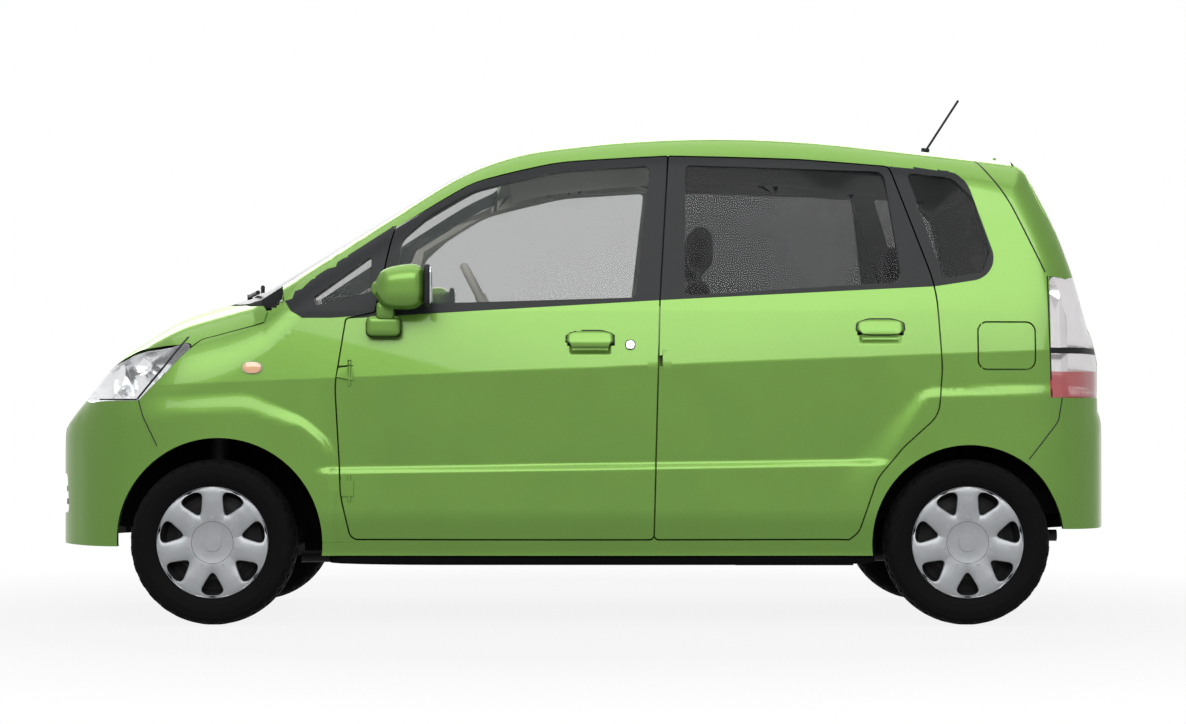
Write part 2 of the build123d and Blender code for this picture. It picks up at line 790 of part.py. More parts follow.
# Engine bay sides: x, x, y, y, z, z, mirrored.
bay_plates = [
    (-1560, -760, 330, 386, 360, 450),
    (-1500, -760, 384, 397, 300, 760),
    (-1240, -1055, 396, 610, 700, 730),
    (bonnet_hinge_x - 14, -760, 564, 584, 935, 985),
]
rack_x = front_axle_x + steering_arm
rack_z = 318.0
wheel_house_radius = 335.0
tower_hole = 34.0
with BuildPart() as floor_pan:
    for x0, x1, half, z0, z1 in floor_plates:
        add(block(x0, x1, -half, half, z0, z1))
    for x0, x1, y0, y1, z0, z1 in bay_plates:
        for way in (-1, 1):
            add(block(x0, x1, way * y0, way * y1, z0, z1))
    for way in (-1, 1):
        with BuildPart(mode=Mode.PRIVATE) as house:
            start = (rear_arch_x, way * 540, tyre_radius)
            add(rod(start, (rear_arch_x, way * 700, tyre_radius), wheel_house_radius))
            add(block(800, 1600, way * 500, way * 720, 345, 700), mode=Mode.INTERSECT)
        add(house.part)
        start = (rear_arch_x, way * 552, tyre_radius)
        add(rod(start, (rear_arch_x, way * 720, tyre_radius), wheel_house_radius - 12), mode=Mode.SUBTRACT)
    add(inside_space, mode=Mode.INTERSECT)
    for way in (-1, 1):
        top = (front_axle_x, way * kingpin_y, 680)
        add(rod(top, (front_axle_x, way * kingpin_y, 740), tower_hole), mode=Mode.SUBTRACT)
        start = (rack_x, way * 370, rack_z)
        add(rod(start, (rack_x, way * 410, rack_z), 20), mode=Mode.SUBTRACT)
        start = (bonnet_hinge_x, way * 570, bonnet_hinge_z)
        add(rod(start, (bonnet_hinge_x, way * 640, bonnet_hinge_z), pin_radius))

with BuildPart() as engine:
    add(block(-1440, -1072, -290, 290, 300, 740))

with BuildPart() as front_subframe:
    add(block(-1230, -960, -330, 330, 180, 215))
    for way in (-1, 1):
        add(block(-1190, -1105, way * 325, way * 550, 180, 200))
        add(block(-1228, -1196, way * 326, way * 382, 180, 360 - fixed_gap))
        start = (front_axle_x, way * kingpin_y, 170)
        add(rod(start, (front_axle_x, way * kingpin_y, 210), ball_pin + pin_play), mode=Mode.SUBTRACT)
        add(block(-1230, -1180, way * 120, way * 180, 214, 300 - fixed_gap))
        add(block(rack_x - 22, rack_x + 22, way * 150, way * 200, 214, rack_z))
    add(rod((rack_x, -250, rack_z), (rack_x, 250, rack_z), 24))
    add(rod((rack_x, -250, rack_z), (rack_x, 250, rack_z), 13), mode=Mode.SUBTRACT)
with BuildPart() as steering_rack:
    add(rod((rack_x, -kingpin_y, rack_z), (rack_x, kingpin_y, rack_z), 12))

with BuildPart() as knuckle_left:
    kingpin = (front_axle_x, -kingpin_y)
    add(rod((*kingpin, 206), (*kingpin, 440), 22))
    add(rod((*kingpin, 184), (*kingpin, 210), ball_pin))
    add(rod((*kingpin, 430), (*kingpin, 690), 26))
    add(rod((*kingpin, 680), (*kingpin, 750), 12))
    add(rod((*kingpin, tyre_radius), (front_axle_x, -half_track - 35, tyre_radius), stub_radius))
    add(rod((*kingpin, tyre_radius), (front_axle_x, -575, tyre_radius), 55))
    add(block(front_axle_x, rack_x + 12, -kingpin_y - 12, -kingpin_y + 12, 338, 354))
with BuildPart() as knuckle_right:
    add(knuckle_left.part.mirror(Plane.XZ))

with BuildPart() as rear_axle:
    add(block(1080, 1130, -500, 500, 235, 285))
    for way in (-1, 1):
        add(block(815, 1245, way * 490, way * 522, 235, 285))
        add(block(815, 855, way * 490, way * 522, 235, 330 - fixed_gap))
        start = (rear_axle_x, way * 500, tyre_radius)
        add(rod(start, (rear_axle_x, way * (half_track + 35), tyre_radius), stub_radius))
        add(rod(start, (rear_axle_x, way * 575, tyre_radius), 55))

with BuildPart() as exhaust:
    add(rod((-950, 120, 178), (1335, 220, 178), 20))
    add(block(1325, 1540, 60, 420, 165, 300))
    add(rod((1530, 360, 240), (1660, 360, 240), 20))
    add(block(180, 200, 162, 178, 190, 205 - fixed_gap))
    add(block(1420, 1440, 230, 250, 299, 470 - fixed_gap))
with BuildPart() as fuel_tank:
    add(block(500, 880, -430, 60, 175, 330 - fixed_gap))

rim_profile = [
    (-68, 157), (-68, rim_radius), (68, rim_radius), (68, 157), (44, 157), (44, 0), (38, 0),
    (38, stub_radius + wheel_play), (-40, stub_radius + wheel_play), (-40, 38), (28, 38), (28, 157),
]
tyre_profile = [
    (-60, rim_radius + fixed_gap), (-77.5, 196), (-76, 232), (-66, 251), (-50, tyre_radius),
    (50, tyre_radius), (66, 251), (76, 232), (77.5, 196), (60, rim_radius + fixed_gap),
]
cover_window = [(62, 0, 8), (104, -34, 10), (136, -34, 14), (136, 34, 14), (104, 34, 10)]
spokes = 7
# Wheels: name, x, side.
wheel_places = [
    ("front_left", front_axle_x, -1),
    ("front_right", front_axle_x, 1),
    ("rear_left", rear_axle_x, -1),
    ("rear_right", rear_axle_x, 1),
]
wheels = []
for name, x, way in wheel_places:
    centre = (x, way * half_track, tyre_radius)
    cut = Plane(origin=centre, x_dir=(0, way, 0), z_dir=(1, 0, 0))
    with BuildPart() as wheel:
        with BuildSketch(cut):
            with BuildLine():
                Polyline(*rim_profile, close=True)
            make_face()
        revolve(axis=Axis(centre, (0, way, 0)))
        with BuildSketch(Plane(origin=centre, x_dir=(0, 0, 1), z_dir=(0, way, 0)).offset(20)):
            with PolarLocations(0, spokes, start_angle=180 / spokes):
                with BuildLine(mode=Mode.PRIVATE) as edge:
                    FilletPolyline(*[(u, v) for u, v, r in cover_window],
                                   radius=[r for u, v, r in cover_window], close=True)
                add(make_face(edge.edges(), mode=Mode.PRIVATE))
        extrude(amount=40, mode=Mode.SUBTRACT)
    with BuildPart() as tyre:
        with BuildSketch(cut):
            with BuildLine():
                Polyline(*tyre_profile, close=True)
            make_face()
        revolve(axis=Axis(centre, (0, way, 0)))
    wheels.append(("wheel_" + name, wheel))
    wheels.append(("tyre_" + name, tyre))

pieces = wheels + [
    ("floor_pan", floor_pan),
    ("side_frame_left", side_frame_left),
    ("side_frame_right", side_frame_right),
    ("roof_panel", roof_panel),
    ("front_fender_left", front_fender_left),
    ("front_fender_right", front_fender_right),
    ("front_bumper", front_bumper),
    ("rear_bumper", rear_bumper),
    ("bonnet", bonnet),
    ("tailgate", tailgate),
    ("tailgate_glass", tailgate_glass),
    ("windscreen", windscreen),
    ("fixed_side_glass", fixed_side_glass),
    ("front_door_left", front_door_left),
    ("front_door_right", front_door_right),
    ("rear_door_left", rear_door_left),
    ("rear_door_right", rear_door_right),
    ("front_door_glass_left", front_door_glass_left),
    ("front_door_glass_right", front_door_glass_right),
    ("rear_door_glass_left", rear_door_glass_left),
    ("rear_door_glass_right", rear_door_glass_right),
    ("mirror_left", mirror_left),
    ("mirror_right", mirror_right),
    ("headlamps", headlamps),
    ("tail_lamps", tail_lamps),
    ("cowl_panel", cowl_panel),
    ("wipers", wipers),
    ("antenna", antenna),
    ("fuel_lid", fuel_lid),
    ("dashboard", dashboard),
    ("steering_wheel", steering_wheel),
    ("steering_rack", steering_rack),
    ("front_seats", front_seats),
    ("rear_seat", rear_seat),
    ("engine", engine),
    ("front_subframe", front_subframe),
    ("knuckle_left", knuckle_left),
    ("knuckle_right", knuckle_right),
    ("rear_axle", rear_axle),
    ("exhaust", exhaust),
    ("fuel_tank", fuel_tank),
]
for node, piece in pieces:
    piece.part.label = node
    export_step(piece.part, "parts/" + node + ".step")
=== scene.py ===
import math

import bmesh
import bpy
import numpy as np
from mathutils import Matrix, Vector


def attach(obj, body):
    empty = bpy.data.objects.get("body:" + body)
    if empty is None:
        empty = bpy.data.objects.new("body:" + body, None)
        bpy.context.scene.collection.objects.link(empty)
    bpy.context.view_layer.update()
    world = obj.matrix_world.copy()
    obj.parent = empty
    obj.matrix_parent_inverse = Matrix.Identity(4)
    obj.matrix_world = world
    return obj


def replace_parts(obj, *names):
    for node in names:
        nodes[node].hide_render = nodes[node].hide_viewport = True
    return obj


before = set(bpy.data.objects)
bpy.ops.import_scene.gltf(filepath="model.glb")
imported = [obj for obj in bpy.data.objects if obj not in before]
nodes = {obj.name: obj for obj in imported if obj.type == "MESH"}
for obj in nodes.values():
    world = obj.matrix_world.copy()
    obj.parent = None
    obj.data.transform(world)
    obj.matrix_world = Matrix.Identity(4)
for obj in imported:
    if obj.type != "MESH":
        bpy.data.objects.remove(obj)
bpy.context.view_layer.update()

# Driving places. Nose, tail, cowl and the corner tables are in mm, as in the solids; all else is in metres.
NOSE = -1697.5
TAIL = 1697.5
COWL = -1085.5
MID = 0.0325  # x where the flanks are widest
BOW = 80.0  # twice the radius of their bow in plan
FRONT_AXLE = -1.1475
REAR_AXLE = 1.2125
AXLE_Z = 0.260
HALF_TRACK = 0.640
SIDES = (("left", -1), ("right", 1))
RELIEF = 0.001  # full height of a material's bump
STEP = 0.002  # half step for a field's rise along one axis


def add_node(tree, kind, operation=None, **sockets):
    """A shader node with its operation and the values of its sockets."""
    node = tree.nodes.new(kind)
    if operation:
        node.operation = operation
    for key, value in sockets.items():
        node.inputs[key.replace("_", " ")].default_value = value
    return node


def wire(source, output, target, entry):
    source.id_data.links.new(source.outputs[output], target.inputs[entry])


def add_relief(tree, source, output, strength):
    bump = add_node(tree, "ShaderNodeBump", Strength=strength, Distance=RELIEF)
    wire(source, output, bump, "Height")
    wire(bump, "Normal", tree.nodes["Principled BSDF"], "Normal")


def material(name, colour, rough, metal=0.0, scale=40.0, vary=0.05, bump=0.0, grain=300.0, shine=0.5, **more):
    """Noise of that scale varies colour and roughness; a finer noise, the grain, gives relief."""
    mat = bpy.data.materials.new(name)
    mat.use_nodes = True
    tree = mat.node_tree
    shader = tree.nodes["Principled BSDF"]
    coord = add_node(tree, "ShaderNodeTexCoord")
    coord.name = "place"
    noise = add_node(tree, "ShaderNodeTexNoise", Scale=scale, Detail=5.0)
    wire(coord, "Object", noise, "Vector")
    ramp = add_node(tree, "ShaderNodeValToRGB")
    ramp.name = "tint"
    dark, light = ramp.color_ramp.elements
    dark.position, light.position = 0.3, 0.7
    dark.color = [c * (1 - vary) for c in colour] + [1]
    light.color = [min(1, c * (1 + vary)) for c in colour] + [1]
    wire(noise, "Fac", ramp, "Fac")
    wire(ramp, "Color", shader, "Base Color")
    span = add_node(tree, "ShaderNodeMapRange", To_Min=rough * 0.85, To_Max=min(1.0, rough * 1.15))
    wire(noise, "Fac", span, "Value")
    wire(span, "Result", shader, "Roughness")
    if bump:
        fine = add_node(tree, "ShaderNodeTexNoise", Scale=grain, Detail=3.0)
        wire(coord, "Object", fine, "Vector")
        add_relief(tree, fine, "Fac", bump)
    for key, value in {"Metallic": metal, "Specular_IOR_Level": shine, **more}.items():
        shader.inputs[key.replace("_", " ")].default_value = value
    return mat


def weave(name, colour, thread):
    """Seat cloth: two crossed wave patterns in the relief."""
    mat = material(name, colour, 0.85, 0.0, 30.0, 0.12, Sheen_Weight=0.35, Sheen_Roughness=0.5)
    tree = mat.node_tree
    cross = add_node(tree, "ShaderNodeMath", "MULTIPLY")
    for entry, axis in enumerate("YZ"):
        wave = add_node(tree, "ShaderNodeTexWave", Scale=thread, Distortion=0.6)
        wave.bands_direction = axis
        wire(tree.nodes["place"], "Object", wave, "Vector")
        wire(wave, "Fac", cross, entry)
    add_relief(tree, cross, "Value", 0.5)
    return mat


def flake_paint(name, colour):
    """Metallic paint: fine flakes in the colour and a clear coat with a slight orange peel."""
    mat = material(
        name, colour, 0.35, 0.55, 6.0, 0.02, bump=0.02, grain=70.0, shine=0.15,
        Coat_Weight=0.45, Coat_Roughness=0.03, Coat_IOR=1.45, Specular_Tint=(0.55, 0.72, 0.30, 1.0),
    )
    tree = mat.node_tree
    flakes = add_node(tree, "ShaderNodeTexVoronoi", Scale=700.0)
    wire(tree.nodes["place"], "Object", flakes, "Vector")
    spread = add_node(tree, "ShaderNodeMapRange", To_Min=0.93, To_Max=1.07)
    wire(flakes, "Color", spread, "Value")
    tint = add_node(tree, "ShaderNodeVectorMath", "SCALE")
    wire(tree.nodes["tint"], "Color", tint, 0)
    wire(spread, "Result", tint, "Scale")
    wire(tint, "Vector", tree.nodes["Principled BSDF"], "Base Color")
    return mat


COATED = {"Coat_Weight": 1.0, "Coat_Roughness": 0.0}
PAINT = flake_paint("paint_lime", (0.120, 0.240, 0.043))
BLACK = material("satin_black", (0.006, 0.007, 0.008), 0.42, 0.0, 60, 0.15, 0.12, 500, 0.18)
TRIM = material("inner_trim", (0.60, 0.58, 0.52), 0.7, 0.0, 30, 0.06, 0.25, 400)
DARK_TRIM = material("dark_trim", (0.055, 0.055, 0.058), 0.65, 0.0, 30, 0.1, 0.3, 400)
GLASS = material("clear_glass", (0.10, 0.115, 0.11), 0.03, 0.0, 8, 0.05, shine=0.12, Alpha=0.21)
TINTED = material("tinted_glass", (0.012, 0.014, 0.015), 0.03, 0.0, 8, 0.05, shine=0.10, Alpha=0.50)
LENS = material("lamp_lens", (0.80, 0.82, 0.83), 0.04, 0.0, 8, 0.02, Alpha=0.16, **COATED)
RED_LENS = material("red_lens", (0.42, 0.015, 0.02), 0.06, 0.0, 60, 0.06, Alpha=0.78, **COATED)
REAR_LENS = material("rear_lens", (0.78, 0.70, 0.71), 0.05, 0.0, 20, 0.03, Alpha=0.30, **COATED)
CHROME = material("reflector", (0.80, 0.81, 0.82), 0.16, 0.95, 25, 0.04)
AMBER = material("amber_lens", (0.75, 0.40, 0.22), 0.12, 0.0, 60, 0.05, Coat_Weight=1.0)
RUBBER = material("tyre_rubber", (0.0035, 0.0035, 0.004), 0.70, 0.0, 80, 0.2, 0.35, 600, 0.05)
SILVER = material("cover_silver", (0.29, 0.30, 0.312), 0.38, 0.35, 50, 0.03, 0.05, 500)
STEEL = material("bare_steel", (0.32, 0.32, 0.33), 0.42, 0.85, 40, 0.15, 0.2, 200)
DARK_STEEL = material("dark_steel", (0.022, 0.022, 0.023), 0.6, 0.2, 40, 0.2, 0.3, 200, 0.15)
WHEEL_STEEL = material("wheel_steel", (0.012, 0.012, 0.013), 0.55, 0.1, 40, 0.15, 0.2, 200, 0.15)
UNDER = material("underbody_black", (0.004, 0.004, 0.0045), 0.85, 0.0, 20, 0.3, 0.6, 150, 0.04)
CASTING = material("cast_alloy", (0.30, 0.30, 0.31), 0.55, 0.8, 60, 0.15, 0.6, 250)
CLOTH = weave("seat_cloth", (0.085, 0.062, 0.055), 420)
MIRROR = material("mirror_glass", (0.75, 0.77, 0.79), 0.03, 1.0, 10, 0.02)


# The body's outside as one signed field. The same corner tables drive the solids: place, place, radius.
LOWER = [
    (NOSE - 12, -400, 0), (NOSE, 610, 130), (NOSE + 217, 868, 420), (NOSE + 407, 988, 420),
    (COWL + 300, 1133, 60), (COWL + 420, 1000, 60), (TAIL - 75, 1000, 60), (TAIL - 36, 885, 260),
    (TAIL - 34, 715, 40), (TAIL, 655, 60), (TAIL + 12, -400, 0),
]
UPPER = [
    (COWL - 400, -300, 0), (COWL - 400, 805.3, 0), (COWL + 796, 1528, 900), (COWL + 1516, 1609, 4000),
    (TAIL - 282, 1500, 70), (TAIL - 187, 1320, 1200), (TAIL - 36, 885, 0), (TAIL - 36, -300, 0),
]
PLAN = [
    (-1720, -60, 0), (NOSE, 0, 0), (NOSE, 200, 1100), (NOSE + 40, 420, 550), (NOSE + 170, 630, 330),
    (NOSE + 420, 728, 700), (32.5, 810, 0), (TAIL - 220, 715, 300), (TAIL - 60, 600, 260),
    (TAIL, 350, 900), (TAIL, 0, 0), (1720, -60, 0),
]
LOWER_CROWN = 2.0  # radii of the tops' crown across the car
UPPER_CROWN = 1.4
PLAIN_CREASE = 40
CRISP_CREASE = 16


def section(crease):
    """Half width and height of the flank, with that radius at the crease."""
    return [
        (706.5, -300, 0), (706.5, 230, 80), (735.5, 340, 200), (737.5, 785, crease),
        (706.5, 985, 60), (505.5, 1710, 0),
    ]


def curve(points, step=8.0):
    """A corner table as a fine line, in metres."""
    line = []
    last = len(points) - 1
    for i, (a, b, r) in enumerate(points):
        p = np.array((a, b), float)
        if r == 0 or i in (0, last):
            line.append(p)
            continue
        u = np.array(points[i - 1][:2], float) - p
        v = np.array(points[i + 1][:2], float) - p
        u /= np.linalg.norm(u)
        v /= np.linalg.norm(v)
        half = math.acos(float(np.clip(u @ v, -1, 1))) / 2
        centre = p + (u + v) / np.linalg.norm(u + v) * r / math.sin(half)
        start = p + u * r / math.tan(half) - centre
        end = p + v * r / math.tan(half) - centre
        first = math.atan2(start[1], start[0])
        turn = math.atan2(start[0] * end[1] - start[1] * end[0], start @ end)
        count = max(4, int(abs(turn) * r / step))
        for k in range(count + 1):
            f = first + turn * k / count
            line.append(centre + r * np.array((math.cos(f), math.sin(f))))
    return np.array(line) / 1000


def distance(line, x, z, closed=True):
    """Distance to a line of points, and whether each point is inside it."""
    best = np.full(x.shape, 1e9)
    inside = np.zeros(x.shape, bool)
    follow = np.roll(line, -1, 0) if closed else line[1:]
    for (ax, az), (bx, bz) in zip(line, follow):
        dx, dz = bx - ax, bz - az
        size = dx * dx + dz * dz
        if size < 1e-14:
            continue
        t = np.clip(((x - ax) * dx + (z - az) * dz) / size, 0, 1)
        best = np.minimum(best, (x - ax - t * dx) ** 2 + (z - az - t * dz) ** 2)
        if closed and az != bz:
            cross = (az > z) != (bz > z)
            inside ^= cross & (x < dx * (z - az) / dz + ax)
    return np.sqrt(best), inside


def cubic(f):
    """Weights of four neighbours for a cubic step."""
    g = f * f
    h = g * f
    return (-0.5 * f + g - 0.5 * h, 1 - 2.5 * g + 1.5 * h, 0.5 * f + 2 * g - 1.5 * h, -0.5 * g + 0.5 * h)


class Grid:
    """Signed distance to a closed outline, kept on a grid and read with cubic steps."""

    def __init__(self, line, low, high, step=0.010):
        self.low = low
        self.step = step
        xs, zs = (np.arange(a, b, step) for a, b in zip(low, high))
        far, inside = distance(line, *np.meshgrid(xs, zs, indexing="ij"))
        self.g = np.where(inside, -far, far)

    def __call__(self, x, z):
        u = np.clip((x - self.low[0]) / self.step, 1, self.g.shape[0] - 3.001)
        v = np.clip((z - self.low[1]) / self.step, 1, self.g.shape[1] - 3.001)
        i = u.astype(int)
        j = v.astype(int)
        wide = cubic(u - i)
        tall = cubic(v - j)
        return sum(wide[a] * tall[b] * self.g[i + a - 1, j + b - 1] for a in range(4) for b in range(4))


lower_grid = Grid(curve(LOWER), (-1.80, -0.10), (1.80, 1.75))
upper_grid = Grid(curve(UPPER), (-1.80, -0.10), (1.80, 1.75))
plan_grid = Grid(curve(PLAN), (-1.80, -0.05), (1.80, 0.95))
plain_section = curve(section(PLAIN_CREASE), 1.0)
crisp_section = curve(section(CRISP_CREASE), 1.0)


def ease(t):
    t = np.clip(t, 0, 1)
    return t * t * (3 - 2 * t)


def soft_max(a, b, k):
    h = np.maximum(k - np.abs(a - b), 0) / k
    return np.maximum(a, b) + h * h * k / 4


def tops(p):
    """Depth below the crowned lower and upper forms together, negative inside."""
    x, y, z = p.T
    low = lower_grid(x, np.sqrt(y * y + (z + LOWER_CROWN) ** 2) - LOWER_CROWN)
    high = upper_grid(x, np.sqrt(y * y + (z + UPPER_CROWN) ** 2) - UPPER_CROWN)
    return np.minimum(low, high)


def solid_field(p):
    """Depth below the solids' outside, negative inside."""
    x, y, z = p.T
    flank = np.abs(y) + (x - MID) ** 2 / BOW - np.interp(z, plain_section[:, 1], plain_section[:, 0])
    return np.maximum(np.maximum(tops(p), flank), plan_grid(x, np.abs(y)))


# Side crease and door ledge are straight in the side view: x and z of a point, and the rise along x.
CREASE = (-1.182, 0.758, 0.0393)
LEDGE = (-0.808, 0.472, 0.01515)
LEDGE_TALL = 0.026
LEDGE_DEEP = 0.011
LEDGE_FROM, LEDGE_TO = -0.835, 1.000
# The section is bent between its lowest and highest height so that its crease follows the line.
BEND_LOW, BEND_CREASE, BEND_HIGH = 0.42, 0.785, 0.985
# Arch flares: outline, x where they end and where they are full, x and width of the ramp, rise.
FRONT_FLARE = curve([
    (-1760, 704, 0), (-1030, 734, 190), (-860, 655, 200), (-764, 575, 120), (-747, 420, 100), (-747, 120, 0),
    (-1760, 120, 0),
])
REAR_FLARE = curve([(775, 120, 0), (800, 480, 200), (1062, 744, 60), (1800, 768, 0), (1800, 120, 0)])
FLARES = (
    (FRONT_FLARE, (-1.66, -1.46), ((-1.30, -0.98, -0.86), (0.075, 0.062, 0.032)), 0.014),
    (REAR_FLARE, (1.66, 1.50), ((0.93, 1.10), (0.11, 0.034)), 0.012),
)
# Handle flaps, and the hand scoops under them: x, x, z, z.
FLAPS = [("front", -0.043, 0.108, 0.874, 0.921), ("rear", 0.864, 1.016, 0.910, 0.958)]
SCOOPS = [(-0.034, 0.100, 0.845, 0.884), (0.872, 1.008, 0.880, 0.918)]
SCOOP_DEEP = 0.011
SCOOP_EDGE = 0.014
# Rounding between top and side at the bonnet, what it loses behind it and gains at the tail.
SHOULDER, SHOULDER_LOSS, SHOULDER_GAIN = 0.17, 0.085, 0.03
# Rounding towards the plan's ends: at nose and tail, and what it gains between them.
CORNER, CORNER_GAIN = 0.02, 0.07


def height(line, x):
    x0, z0, rise = line
    return z0 + rise * (x - x0)


def flank_width(x, z, scoops):
    """Half width of the dressed flank: crease, door ledge, arch flares and handle scoops."""
    line = height(CREASE, x)
    below = BEND_LOW + (z - BEND_LOW) * (BEND_CREASE - BEND_LOW) / (line - BEND_LOW)
    above = BEND_CREASE + (z - line) * (BEND_HIGH - BEND_CREASE) / (BEND_HIGH - line)
    bent = np.where((z < BEND_LOW) | (z > BEND_HIGH), z, np.where(z < line, below, above))
    wide = np.interp(bent, crisp_section[:, 1], crisp_section[:, 0])
    low = height(LEDGE, x)
    run = ease((x - LEDGE_FROM) / 0.06) * ease((LEDGE_TO - x) / 0.09)
    lean = np.clip((line - z) / (line - low - LEDGE_TALL), 0, 1) * ease((z - low) / LEDGE_TALL)
    wide = wide - LEDGE_DEEP * run * lean
    for flare, (end, full), widths, rise in FLARES:
        near = (x > flare[:, 0].min() - 0.02) & (x < flare[:, 0].max() + 0.02) & (z < 0.80) & (z > 0.1)
        if near.any():
            far = distance(flare[:-1], x[near], z[near], False)[0]
            within = distance(flare, x[near], z[near])[1]
            ramp = np.interp(x[near], *widths)
            fade = ease((x[near] - end) / (full - end))
            wide[near] += rise * fade * np.where(within, ease(far / ramp), 0)
    if scoops:
        for x0, x1, z0, z1 in SCOOPS:
            side = np.maximum(np.maximum(x0 - x, x - x1), np.maximum(z0 - z, z - z1))
            wide = wide - SCOOP_DEEP * ease(-side / SCOOP_EDGE)
    return wide


def dressed_field(p, scoops=True):
    """Depth below the dressed outside, negative inside."""
    x, y, z = p.T
    flank = np.abs(y) + (x - MID) ** 2 / BOW - flank_width(x, z, scoops)
    shoulder = SHOULDER - SHOULDER_LOSS * ease((x + 1.15) / 0.35) + SHOULDER_GAIN * ease((x - 1.2) / 0.3)
    corner = CORNER + CORNER_GAIN * ease((x + 1.67) / 0.13) * ease((1.68 - x) / 0.08)
    return soft_max(soft_max(tops(p), flank, shoulder), plan_grid(x, np.abs(y)), corner)


def slope(p, step=0.0025):
    g = np.empty_like(p)
    for i in range(3):
        d = np.zeros(3)
        d[i] = step
        g[:, i] = (dressed_field(p + d) - dressed_field(p - d)) / (2 * step)
    return g


def unit(v):
    return v / np.maximum(np.linalg.norm(v, axis=1, keepdims=True), 1e-9)


def seat_on(p, depth):
    """Moves points along the dressed field's slope until they lie at that depth."""
    q = p.copy()
    for _ in range(4):
        g = slope(q)
        size = np.maximum((g * g).sum(1), 0.2)
        move = np.clip((dressed_field(q) - depth) / size, -0.03, 0.03)
        q -= g * move[:, None]
    return q


def skin_points(spots, side=-1):
    """Points on the dressed flank for rows of x, z, lift; the lift is along the slope."""
    spots = np.array(spots, float)
    p = np.column_stack([spots[:, 0], np.full(len(spots), side * 0.70), spots[:, 1]])
    across = np.array([[0.0, STEP, 0.0]])
    for _ in range(6):
        rise = (dressed_field(p + across, False) - dressed_field(p - across, False)) / (2 * STEP)
        p[:, 1] -= dressed_field(p, False) / rise
    return p + unit(slope(p)) * spots[:, 2:]


def link(obj):
    bpy.context.scene.collection.objects.link(obj)
    return obj


def add_piece(name, mesh, mats, slot, body):
    """Puts a mesh into the scene and on its body; the slot is not used."""
    for m in mats:
        mesh.materials.append(m)
    obj = link(bpy.data.objects.new(name, mesh))
    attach(obj, body)
    return obj


def mesh_object(name, verts, faces, mats, slot, body="chassis", indices=None):
    mesh = bpy.data.meshes.new(name)
    mesh.from_pydata([tuple(v) for v in verts], [], faces)
    mesh.validate()
    if indices is not None:
        mesh.polygons.foreach_set("material_index", indices)
    mesh.polygons.foreach_set("use_smooth", [True] * len(mesh.polygons))
    mesh.update()
    return add_piece(name, mesh, mats, slot, body)


def quads(rows, columns, start=0, turned=False, closed=False, flip=False):
    """Faces of a grid of points kept row by row. turned joins the last row to the first one, and
    closed joins each row's end to its start."""
    faces = []
    for j in range(rows if turned else rows - 1):
        a = start + j * columns
        b = start + (j + 1) % rows * columns
        for i in range(columns if closed else columns - 1):
            n = (i + 1) % columns
            faces.append((a + i, b + i, b + n, a + n) if flip else (a + i, a + n, b + n, b + i))
    return faces


def power(a, exponent):
    """A power that keeps the sign."""
    return math.copysign(abs(a) ** exponent, a)


def turns(count):
    return [2 * math.pi * k / count for k in range(count)]


def sharpen(obj, degrees, weld=0):
    """Smooth shading with the edges over that angle kept sharp; weld joins points that near first."""
    bm = bmesh.new()
    bm.from_mesh(obj.data)
    if weld:
        bmesh.ops.remove_doubles(bm, verts=bm.verts, dist=weld)
        bm.normal_update()
    bmesh.ops.recalc_face_normals(bm, faces=bm.faces)
    for e in bm.edges:
        if len(e.link_faces) == 2 and e.calc_face_angle(0) > math.radians(degrees):
            e.smooth = False
    for f in bm.faces:
        f.smooth = True
    bm.to_mesh(obj.data)
    bm.free()
    return obj


# Panels: copies of body nodes, dressed. Depths are below the solids' outside.
SKIN_DEPTH = 0.0025  # faces nearer than this, and looking out, are skin
EDGE_DEPTH = 0.020  # down to here vertices keep their depth exactly
STILL_DEPTH = 0.046  # from here on they aren't moved
LINING_DEPTH = 0.02
OUTER_DEPTH = 0.002
HANDLE_PROUD = 0.0012
HANDLE_ROOM = 0.01
# Door hinge pins, x and half width; what is near them keeps its place.
HINGES = [(-0.718, 0.720), (0.264, 0.727)]
PIN_ROOM = 0.040


def plane(axis, at):
    """A cutting plane across an axis."""
    point, normal = [0, 0, 0], [0, 0, 0]
    point[axis], normal[axis] = at, 1
    return point, normal


def cut(bm, layer, point, normal):
    """Cuts the skin's faces along a plane."""
    faces = [f for f in bm.faces if f[layer]]
    geom = set(faces)
    for f in faces:
        geom.update(f.edges)
        geom.update(f.verts)
    bmesh.ops.bisect_plane(bm, geom=list(geom), dist=1e-5, plane_co=point, plane_no=normal)


def lines_between(low, high, step):
    count = max(1, int(round((high - low) / step)))
    return [low + (high - low) * k / count for k in range(1, count)]


def remove_handles(bm):
    """Deletes the solids' handles, which stand proud of the door."""
    bm.verts.index_update()
    depth = solid_field(np.array([v.co for v in bm.verts]))
    proud = []
    for f in bm.faces:
        c = f.calc_center_median()
        by_flap = any(
            x0 - HANDLE_ROOM < c.x < x1 + HANDLE_ROOM and z0 - HANDLE_ROOM < c.z < z1 + HANDLE_ROOM
            for _, x0, x1, z0, z1 in FLAPS)
        if by_flap and max(depth[v.index] for v in f.verts) > HANDLE_PROUD:
            proud.append(f)
    bmesh.ops.delete(bm, geom=proud, context="FACES")


def face_facing(bm):
    """The faces' centres, depths, and how far each looks outward, from -1 to 1."""
    centres = np.array([f.calc_center_median() for f in bm.faces])
    normals = np.array([f.normal for f in bm.faces])
    return centres, solid_field(centres), (unit(slope(centres)) * normals).sum(1)


